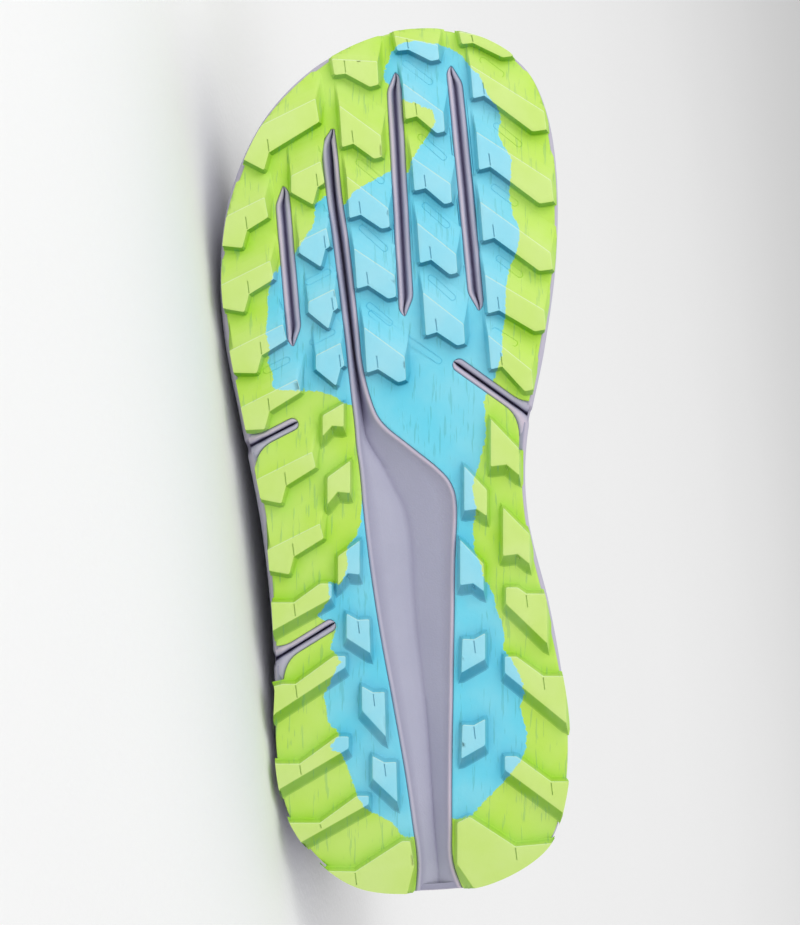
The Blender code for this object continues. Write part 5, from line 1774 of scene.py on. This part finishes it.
def fabric_mesh():
    """Engineered mesh in a regular pattern of open cells over a darker ground."""
    graph = Graph("upper_mesh", 0.82, Specular_IOR_Level=0.3)
    uv = graph.attribute("cloth")[1]
    warp = graph.add("VectorMath", {0: graph.add("TexNoise", {"Vector": uv, "Scale": 55}).outputs["Color"],
                                    1: (0.0035, 0.0035, 0.0)}, operation="MULTIPLY").outputs[0]
    bent = graph.add("VectorMath", {0: uv, 1: warp}, operation="ADD").outputs[0]
    cell = graph.cells(graph.mapped(bent, (1.0, 0.72, 1.0)), 300, 0.2, dimensions="2D")
    hole = graph.step(cell, 0.34, 0.22)
    knit = graph.cells(uv, 1900, 0.0, dimensions="2D")
    zone = graph.step(graph.noise(uv, 22, 2.0), 0.40, 0.62)
    colour = graph.mix(zone, srgb(50, 52, 60), srgb(84, 88, 98))
    colour = graph.mix(graph.math("MULTIPLY", knit, 0.5), colour, srgb(132, 136, 146))
    colour = graph.mix(hole, colour, srgb(9, 9, 12))
    graph.bump(cell, 0.0006, 1.0)
    graph.bump(knit, 0.00008, 0.7)
    return graph.set(Base_Color=colour)


def lining_cloth(name, dark, light, scale=1500):
    """Brushed knit."""
    graph = Graph(name, 0.9, Specular_IOR_Level=0.2)
    graph.shader.inputs["Sheen Weight"].default_value = 0.35
    shoe = graph.attribute("shoe")[1]
    knit = graph.cells(shoe, scale, 0.35)
    colour = graph.mix(graph.step(knit, 0.1, 0.7), dark, light)
    colour = graph.mix(graph.math("MULTIPLY", graph.noise(shoe, 90, 3.0), 0.35), colour, dark)
    graph.bump(knit, 0.00022, 0.8)
    graph.bump(graph.noise(shoe, 160, 3.0), 0.0005, 0.6)
    return graph.set(Base_Color=colour)


def film():
    """Thin welded film with a fine matte grain."""
    graph = Graph("overlay_film", 0.46, Specular_IOR_Level=0.45)
    shoe = graph.attribute("shoe")[1]
    grain = graph.cells(shoe, 2200)
    cloud = graph.noise(shoe, 70, 3.0)
    colour = graph.mix(cloud, srgb(40, 42, 48), srgb(58, 60, 68))
    graph.bump(grain, 0.00006, 0.8)
    graph.bump(cloud, 0.00025, 0.5)
    return graph.set(Base_Color=colour, Roughness=graph.line(cloud, 0.40, 0.22))


def toe_rubber():
    graph = Graph("toe_rubber", 0.5, Specular_IOR_Level=0.4)
    shoe = graph.attribute("shoe")[1]
    cloud = graph.noise(shoe, 80, 3.0)
    colour = graph.mix(cloud, srgb(176, 220, 52), srgb(204, 238, 110))
    scuff = graph.step(graph.noise(graph.mapped(shoe, (300, 60, 300)), 1.0, 4.0), 0.60, 0.72)
    colour = graph.mix(graph.math("MULTIPLY", scuff, 0.22), colour, srgb(120, 150, 60))
    graph.bump(graph.cells(shoe, 1800), 0.00005)
    return graph.set(Base_Color=colour)


def lace_cloth():
    """Flat woven lace: rows of fine slanted threads, with a darker fleck."""
    graph = Graph("lace_cord", 0.8, Specular_IOR_Level=0.3)
    graph.shader.inputs["Sheen Weight"].default_value = 0.3
    uv = graph.attribute("cloth")[1]
    x, y = graph.parts(uv)[:2]
    fold = graph.math("ABSOLUTE", y)
    slant = graph.math("ADD", graph.math("MULTIPLY", x, 5200), graph.math("MULTIPLY", fold, 5200))
    thread = graph.math("SINE", slant)
    fleck = graph.step(graph.math("SINE", graph.math("MULTIPLY", x, 900)), 0.55, 0.8)
    middle = graph.step(fold, 0.0011, 0.0008)
    colour = graph.mix(graph.step(thread, -1, 1), srgb(104, 140, 34), srgb(158, 196, 62))
    flecked = graph.math("MULTIPLY", graph.math("MULTIPLY", fleck, middle), 0.85)
    colour = graph.mix(flecked, colour, srgb(36, 40, 44))
    graph.bump(thread, 0.00012, 0.9)
    return graph.set(Base_Color=colour)


def thread_cloth():
    graph = Graph("thread", 0.7, Specular_IOR_Level=0.3)
    shoe = graph.attribute("shoe")[1]
    twist = graph.noise(shoe, 2600)
    graph.bump(twist, 0.00006)
    return graph.set(Base_Color=graph.mix(twist, srgb(92, 112, 40), srgb(140, 170, 62)))


def upper(cloth, lining):
    """Hollow upper: woven outside that rolls over the top line, and its padded lining."""
    columns, rows = 480, 60
    places = np.linspace(0, PLACES, columns, endpoint=False)
    levels = np.linspace(0, 1, rows)
    border = [(p, 0.0) for p in np.linspace(0, PLACES, 240)] + [(p, 1.0) for p in np.linspace(PLACES, 0, 240)]
    spots, faces, _ = chart_mesh(border, eyelet_circles(EYELET_SLACK), CHART_STEP)
    place, level = spots.T
    weave = WEAVE_RELIEF * np.sin(place * 7.0) * np.sin(level * 19.0) * (level > 0.2) * (level < 0.95)
    points = skin_points(spots, SKIN_LIFT + weave)
    outside = mesh_from(points, [tuple(int(i) for i in face) for face in faces])
    down = np.interp(place, np.linspace(0, PLACES, CHART_PLACES), RAY_LENGTHS) * (1 - level)
    flat = np.column_stack([place * CHART_WIDTH / MILLI, -down])
    top = np.linspace(0, PLACES, columns, endpoint=False)
    wall = UPPER_WALL + pad_depth(top, np.full(columns, 1.0))
    first = skin_points(np.column_stack([top, np.ones(columns)]), SKIN_LIFT)
    last = skin_points(np.column_stack([top, np.ones(columns)]), -wall)
    rise = first - skin_points(np.column_stack([top, np.full(columns, 0.985)]), 0)
    rise /= np.linalg.norm(rise, axis=1)[:, None]
    roll = []
    for turn in np.linspace(0, math.pi, ROLL_STEPS):
        share = (1 - math.cos(turn)) / 2
        roll.append(first * (1 - share) + last * share + rise * (wall * ROLL_RISE * math.sin(turn))[:, None])
    rolled = mesh_from(np.concatenate(roll), rings_faces(ROLL_STEPS, columns))
    roll_flat = [(p * CHART_WIDTH / MILLI, ROLL_WEAVE * i) for i in range(ROLL_STEPS) for p in top]
    mesh = joined([outside, rolled])
    vectors(mesh, "cloth", [(*p, 0) for p in flat] + [(*p, 0) for p in roll_flat])
    woven = piece("upper_cloth", welded(mesh, WELD, turned=True), cloth, ["upper"])
    grid = []
    for level in levels:
        wall = UPPER_WALL + pad_depth(places, np.full(columns, level))
        ripple = 0.00025 * np.sin(places * 40) * smooth((level - 0.6) / 0.2)
        grid.append(skin_points(np.column_stack([places, np.full(columns, level)]), -wall + ripple))
    inner = mesh_from(np.concatenate(grid), [face[::-1] for face in rings_faces(rows, columns)])
    padded = piece("upper_lining", inner, lining)
    return woven


def capsules(path, normals):
    """Thread of even stitches along a path, each a small rod that sinks at both ends."""
    gaps = np.linalg.norm(np.diff(path, axis=0), axis=1)
    reach = np.concatenate([[0], np.cumsum(gaps)])
    points, faces = [], []
    for at in np.arange(STITCH_STEP, reach[-1] - STITCH_STEP, STITCH_STEP):
        stations = np.linspace(at - STITCH_LENGTH / 2, at + STITCH_LENGTH / 2, 5)
        line = np.array([[np.interp(u, reach, path[:, k]) for k in range(3)] for u in stations])
        up = np.array([np.interp(at, reach, normals[:, k]) for k in range(3)])
        up /= np.linalg.norm(up)
        way = line[-1] - line[0]
        side = np.cross(way, up)
        side /= np.linalg.norm(side)
        first = len(points)
        for p, fit, lift in zip(line, (0.55, 1.0, 1.0, 1.0, 0.55), (-0.6, 0.3, 0.6, 0.3, -0.6)):
            for turn in np.linspace(0, 2 * math.pi, 6, endpoint=False):
                spoke = side * math.cos(turn) + up * math.sin(turn)
                points.append(p + (spoke * fit + up * lift) * STITCH_RADIUS)
        for row in range(4):
            for i in range(6):
                a, b = first + row * 6 + i, first + row * 6 + (i + 1) % 6
                faces.append((a, b, b + 6, a + 6))
        faces += [tuple(range(first + 5, first - 1, -1)), tuple(range(first + 24, first + 30))]
    return mesh_from(points, faces)


def seam(spots, offset):
    spots = np.array(spots)
    places, levels = spots.T
    return capsules(skin_points(spots, offset), look_up(SKIN_NORMALS, places, levels))


def overlays(material):
    """Eyestay and heel counter, and the stitches of the upper."""
    lateral, medial = THROAT_TOP
    outer = OVERLAY_GAP + OVERLAY_WALL
    places = list(np.linspace(lateral, medial, 160))

    def low(place):
        return below_top(place, EYESTAY_WIDTH)

    border = band(low, lambda place: below_top(place, EYESTAY_SETBACK), places)
    circles = eyelet_circles()
    ridge = eyelet_circles(EYELET_RING)

    def relief(spots):
        rings = [np.array(circle) * CHART_SCALE for circle in circles]
        near = distance_to_loops(spots * CHART_SCALE, rings, CHART_NEAR) / MILLI
        return EYELET_SWELL * np.exp(-(near / EYELET_FADE) ** 2)

    under = OVERLAY_GAP * 0.4
    rings = [closed(ring) for ring in ridge]
    stay = skin_shell(border, circles, 1.5, under, outer, relief=relief, lines=rings)
    piece("eyestay_film", stay, material, ["eyestay"], sharp=50)
    reach = COUNTER_REACH

    def top(place):
        from_heel = min(place % PLACES, PLACES - place % PLACES) / reach
        height = COUNTER_HEIGHT * (1 - COUNTER_FALL * from_heel**2)
        return level_at_height(place % PLACES, lip_top(place % PLACES) + height)

    def bottom(place):
        return level_at_height(place % PLACES, lip_top(place % PLACES) + OVERLAY_REST)

    places = list(np.linspace(-reach, reach, 90))
    tops = {place: top(place) for place in places}
    border = band(bottom, tops.get, places)

    def ribs(spots):
        place, level = spots.T
        fan = np.abs(np.sin(place * 2.1 + level * 3.0))
        return -0.00030 * smooth((0.16 - fan) / 0.16) * (level > 0.24)

    counter = skin_shell(border, [], 1.6, under, outer, relief=ribs)
    piece("heel_cup", counter, material, ["heel_counter"], sharp=50)
    throat = np.linspace(lateral + 0.1, medial - 0.1, 300)
    collar = np.linspace(medial - PLACES, lateral, 400)
    lines = [seam([(p, below_top(p, EYESTAY_SETBACK + SEAM_INSET)) for p in throat], outer),
             seam([(p, low(p) + 0.022) for p in throat], outer),
             seam([(p, tops[p] - 0.020) for p in places[2:-2]], outer)]
    lines += [seam([(p, level) for p in collar], SKIN_LIFT) for level in COLLAR_SEAMS]
    return lines + [seam(circle + circle[:2], outer + 0.0001) for circle in ridge]


def toe_guard(material):
    """Rubber bumper on the front of the foam and the toe of the upper, widest above the foam."""
    reach = TOE_CAP_REACH
    rows = []
    for place in np.linspace(TOE_PLACE - reach, TOE_PLACE + reach, 90):
        off = abs(place - TOE_PLACE) / reach
        far_in = feather(place) - LIP_WALL - CLEARANCE
        normal = np.array([*edge(place)[1], 0.0])
        start = 0.05 + 0.66 * smooth((off - 0.15) / 0.75)
        column = []
        for t in np.linspace(start, 1.0, 16):
            height, share = through(np.array(SIDE_RINGS), t)
            point = inset(place, share * far_in)
            top = footbed(inset(place, feather(place))[0]) + LIP_HEIGHT
            z = ground(point[0]) + FLOOR + (top - FLOOR) * height
            column.append(np.array([*point, z]) + normal * OVERLAY_WALL)
        swell = 0.18 + 0.82 * math.sqrt(max(0.0, 1 - off**2))
        low = level_at_height(place, lip_top(place) + OVERLAY_REST)
        length = RAY_LENGTHS[round(place / PLACES * (CHART_PLACES - 1))]
        high = (LIP_HEIGHT + TOE_CAP_HEIGHT * swell) / length
        spots = [(place, level) for level in np.linspace(low, high, 26)]
        column.extend(skin_points(spots, OVERLAY_GAP + OVERLAY_WALL * 0.8))
        rows.append(column)
    grid = np.array(rows)
    way = np.array([0.80 * LENGTH, 0.0, 0.03]) - grid
    inner = grid + way / np.linalg.norm(way, axis=2)[:, :, None] * TOE_CAP_WALL
    grid[:, -1] = 0.5 * (grid[:, -1] + inner[:, -1])
    grid[:, 0] = 0.5 * (grid[:, 0] + inner[:, 0])
    return piece("toe_guard", grid_shell(grid, inner), material, ["toe_cap"], sharp=50)


def tongue(material):
    """Padded tongue with sewn channels, rounded edges and a rolled top."""
    sections = [np.array(tongue_section(share)) for share in np.linspace(0.0, 1.0, 9)]
    last, before = sections[-1], sections[-2]
    way = (last - before).mean(axis=0)
    way /= np.linalg.norm(way)
    middle = last.mean(axis=0)
    for share in (0.35, 0.7, 1.0):
        rise = way + np.array([0.0, 0.0, 0.25 * share])
        narrow = 1 - TONGUE_TAPER * share**0.4
        sections.append(middle + (last - middle) * narrow + rise * TONGUE_RISE * share)
    rows, columns = 150, 61
    grid = []
    for u in np.linspace(0, 1, rows):
        line = through(sections, u * 0.9999)
        grid.append([through(list(line), v * 0.9999) for v in np.linspace(0, 1, columns)])
    grid = np.array(grid)
    normals = np.cross(np.gradient(grid, axis=0), np.gradient(grid, axis=1))
    normals /= np.linalg.norm(normals, axis=2)[:, :, None]
    v = np.linspace(-1, 1, columns)[None, :]
    u = np.linspace(0, 1, rows)[:, None]
    round_side = np.sqrt(np.clip(1 - np.abs(v) ** 8, 0, 1))
    round_top = np.sqrt(np.clip(1 - np.clip((u - 0.97) / 0.03, 0, 1) ** 2, 0, 1))
    form = round_side * round_top
    quilt = 0.00050 * np.exp(-(np.sin(u * 34.0) / 0.22) ** 2) * (np.abs(v) < 0.62) * (u < 0.72)
    crown = 0.00035 * np.abs(np.sin(u * 34.0)) * (np.abs(v) < 0.62) * (u < 0.72)
    half = TONGUE_WALL / 2
    centre = grid + normals * half
    upper_side = centre + normals * (half * form - quilt * form)[:, :, None]
    lower_side = centre - normals * ((half * form)[:, :, None] * 0.96)
    upper_side += normals * (np.minimum(crown, 0.00015) * form)[:, :, None]
    item = piece("tongue_pad", grid_shell(upper_side, lower_side), material, ["tongue"])
    sewn = slice(60, -6)
    return [capsules(upper_side[sewn, j], normals[sewn, j]) for j in (4, columns - 5)]


def insole(material):
    """Footbed inside the upper, a little cupped at its edge."""
    count, rings = 240, 14
    reach = UPPER_WALL + CLEARANCE
    edge_points = np.array([inset(p, feather(p) + reach) for p in np.arange(count) * PLACES / count])
    spine = np.column_stack([np.clip(edge_points[:, 0], 0.14 * LENGTH, 0.86 * LENGTH), np.zeros(count)])
    stations, offsets = [0, 0.4 * LENGTH, 0.7 * LENGTH, LENGTH], [0.006, 0.004, -0.002, 0.006]
    spine[:, 1] = np.interp(spine[:, 0], stations, offsets)
    points = []
    for share in np.linspace(0, 1, rings):
        flat = spine + (edge_points - spine) * share
        for p in flat:
            z = ground(p[0]) + footbed(p[0]) + CLEARANCE + INSOLE
            drop = 0.0006 * (1 - share**3) + (INSOLE_BEVEL if share > 0.99 else 0)
            points.append((*p, z - drop))
    for p in edge_points:
        points.append((*p, ground(p[0]) + footbed(p[0]) + CLEARANCE))
    mesh = mesh_from(points, rings_faces(rings + 1, count))
    return piece("footbed", welded(mesh, WELD, turned=True), material, ["insole"])


def lace_route(low, high, extra):
    """Path of one bar of the lace, from inside one eyelet to inside another, with the normals there."""
    start, leaving, first = lace_landing(*low, 1 if high[0] > low[0] else -1)
    end, arriving, last = lace_landing(*high, -1)
    share = (throat_share(low[0]) + throat_share(high[0])) / 2
    section = tongue_section((share - TONGUE_START) / (1 - TONGUE_START))
    crown = section[len(section) // 2]
    up = (first + last) / np.linalg.norm(first + last)
    middle = (leaving + arriving) / 2
    lift = max((crown - middle) @ up + LACE_THICK + CLEARANCE, LACE_THICK) + extra
    holes = []
    for pair, side in (low, high):
        place, level = eyelet_places()[pair][side]
        holes.append(skin_points([(place, level)], 0)[0])
    back_first, back_last = start - leaving, end - arriving
    back_first /= np.linalg.norm(back_first)
    back_last /= np.linalg.norm(back_last)
    over_first = start + back_first * LACE_OVER - first * LACE_RIM
    over_last = end + back_last * LACE_OVER - last * LACE_RIM
    route = [holes[0] - first * LACE_SINK, holes[0] + first * LACE_RIM, over_first, leaving,
             middle + up * lift, arriving, over_last, holes[1] + last * LACE_RIM, holes[1] - last * LACE_SINK]
    return route, first, last


def lace_ribbon(route, first, last):
    """Flat lace with rounded edges along a route, gathered in its eyelets."""
    steps, ring = 72, 16
    points, flat = [], []
    reach = 0.0
    before = None
    for i in range(steps + 1):
        s = i / steps * 0.9999
        point = through(route, s)
        way = through(route, min(s + 0.012, 0.9999)) - through(route, max(s - 0.012, 0.0))
        way /= np.linalg.norm(way)
        normal = first * (1 - s) + last * s
        normal = normal - way * (normal @ way)
        if np.linalg.norm(normal) < 0.35:
            tilt = route[4] - point
            normal = normal - (tilt - way * (tilt @ way)) * 20
        normal /= np.linalg.norm(normal)
        side = np.cross(normal, way)
        reach += 0.0 if before is None else np.linalg.norm(point - before)
        before = point
        least = LACE_GATHER * LACE_ENDS
        spread = least + (1 - least) * smooth((min(s, 1 - s) - 0.16) / 0.2)
        width, thick = LACE_WIDTH / 2 * spread, LACE_THICK / 2 * (1 + 0.35 * (1 - spread))
        for turn in np.linspace(0, 2 * math.pi, ring, endpoint=False):
            c, d = math.cos(turn), math.sin(turn)
            flat_c = math.copysign(abs(c) ** 0.6, c)
            flat_d = math.copysign(abs(d) ** 0.8, d)
            crease = 1 - 0.18 * math.exp(-(flat_c / 0.16) ** 2)
            points.append(point + side * width * flat_c + normal * thick * flat_d * crease)
            flat.append((reach, flat_c * LACE_WIDTH / 2, 0))
    mesh = mesh_from(points, rings_faces(steps + 1, ring))
    return mesh, flat


def laces(material):
    """One taut lace: a bar at the toe end and a crossing for each further pair of eyelets."""
    runs = [((0, 0), (0, 1), 0.0)]
    for i in range(1, EYELET_PAIRS):
        runs += [((i - 1, 0), (i, 1), 0.0), ((i - 1, 1), (i, 0), 0.9 * LACE_THICK)]
    parts = [lace_ribbon(*lace_route(*run)) for run in runs]
    mesh = joined([part for part, _ in parts])
    vectors(mesh, "cloth", [p for _, flat in parts for p in flat])
    nodes = [f"lace_{i + 1}" for i in range(EYELET_PAIRS)]
    return piece("lace_run", outward(mesh), material, nodes)


def sewing(lines, material):
    return piece("stitches", joined(lines), material)


# Floor, lights and camera

FLOOR_SIZE = 14.0
CAMERA_LENS = 150.0
CAMERA_SENSOR = 36.0
FILL = 0.955


def area_light(name, way, distance, size, power, target):
    lamp = bpy.data.lights.new(name, "AREA")
    lamp.shape, lamp.size, lamp.energy = "DISK", size, power
    item = bpy.data.objects.new(name, lamp)
    bpy.context.collection.objects.link(item)
    way = way.normalized()
    item.location = target + way * distance
    item.rotation_mode = "QUATERNION"
    item.rotation_quaternion = way.to_track_quat("Z", "Y")


def studio(centre):
    graph = Graph("floor", 0.9, Specular_IOR_Level=0.1)
    spot = graph.add("NewGeometry").outputs["Position"]
    graph.bump(graph.noise(spot, 400, 3.0), 0.0002)
    paper = graph.mix(graph.noise(spot, 3, 3.0), srgb(238, 238, 238), srgb(242, 242, 242))
    material = graph.set(Base_Color=paper)
    half = FLOOR_SIZE / 2
    corners = [(-half, -half, 0), (half, -half, 0), (half, half, 0), (-half, half, 0)]
    mesh = mesh_from(corners, [(0, 1, 2, 3)])
    mesh.materials.append(material)
    floor = bpy.data.objects.new("floor", mesh)
    bpy.context.collection.objects.link(floor)
    toe, below, medial = way_to_row((1, 0, 0)), way_to_row((0, 0, -1)), way_to_row((0, 1, 0))
    area_light("key", toe * 0.75 + below * 0.75 + medial * 0.55, 1.6, 1.3, 10.0, centre)
    area_light("fill", below * 1.0 - toe * 0.5 + medial * 0.8, 2.2, 2.0, 6.5, centre)
    area_light("top", medial * 1.0 - below * 0.5, 1.8, 1.6, 7, centre)
    world = bpy.data.worlds.new("studio")
    world.use_nodes = True
    world.node_tree.nodes["Background"].inputs["Color"].default_value = (1, 1, 1, 1)
    world.node_tree.nodes["Background"].inputs["Strength"].default_value = 0.62
    bpy.context.scene.world = world
    bpy.context.scene.view_settings.view_transform = "Standard"


def camera():
    """Long lens square to the tread, rolled so that the toe is up."""
    toe, below = way_to_row((1, 0, 0)), way_to_row((0, 0, -1))
    middle = Vector(to_row([[0.5 * LENGTH, 0.0, LUG_HEIGHT]])[0])
    reach = 0.5 * LENGTH / FILL / (CAMERA_SENSOR / 2 / CAMERA_LENS)
    data = bpy.data.cameras.new("camera")
    data.lens, data.sensor_width, data.clip_end = CAMERA_LENS, CAMERA_SENSOR, 60
    item = bpy.data.objects.new("camera", data)
    bpy.context.collection.objects.link(item)
    item.location = middle + below * reach
    item.rotation_mode = "QUATERNION"
    right = toe.cross(below)
    item.rotation_quaternion = Matrix((right, toe, below)).transposed().to_quaternion()
    bpy.context.scene.camera = item
    return middle


target = camera()
studio(target)
tread(tread_rubber())
midsole(foam())
knit = lining_cloth("lining", srgb(20, 22, 26), srgb(52, 56, 64))
upper(fabric_mesh(), knit)
stitch_lines = overlays(film())
toe_guard(toe_rubber())
stitch_lines += tongue(knit)
insole(lining_cloth("footbed_cloth", srgb(24, 26, 30), srgb(60, 64, 72), 1100))
laces(lace_cloth())
sewing(stitch_lines, thread_cloth())
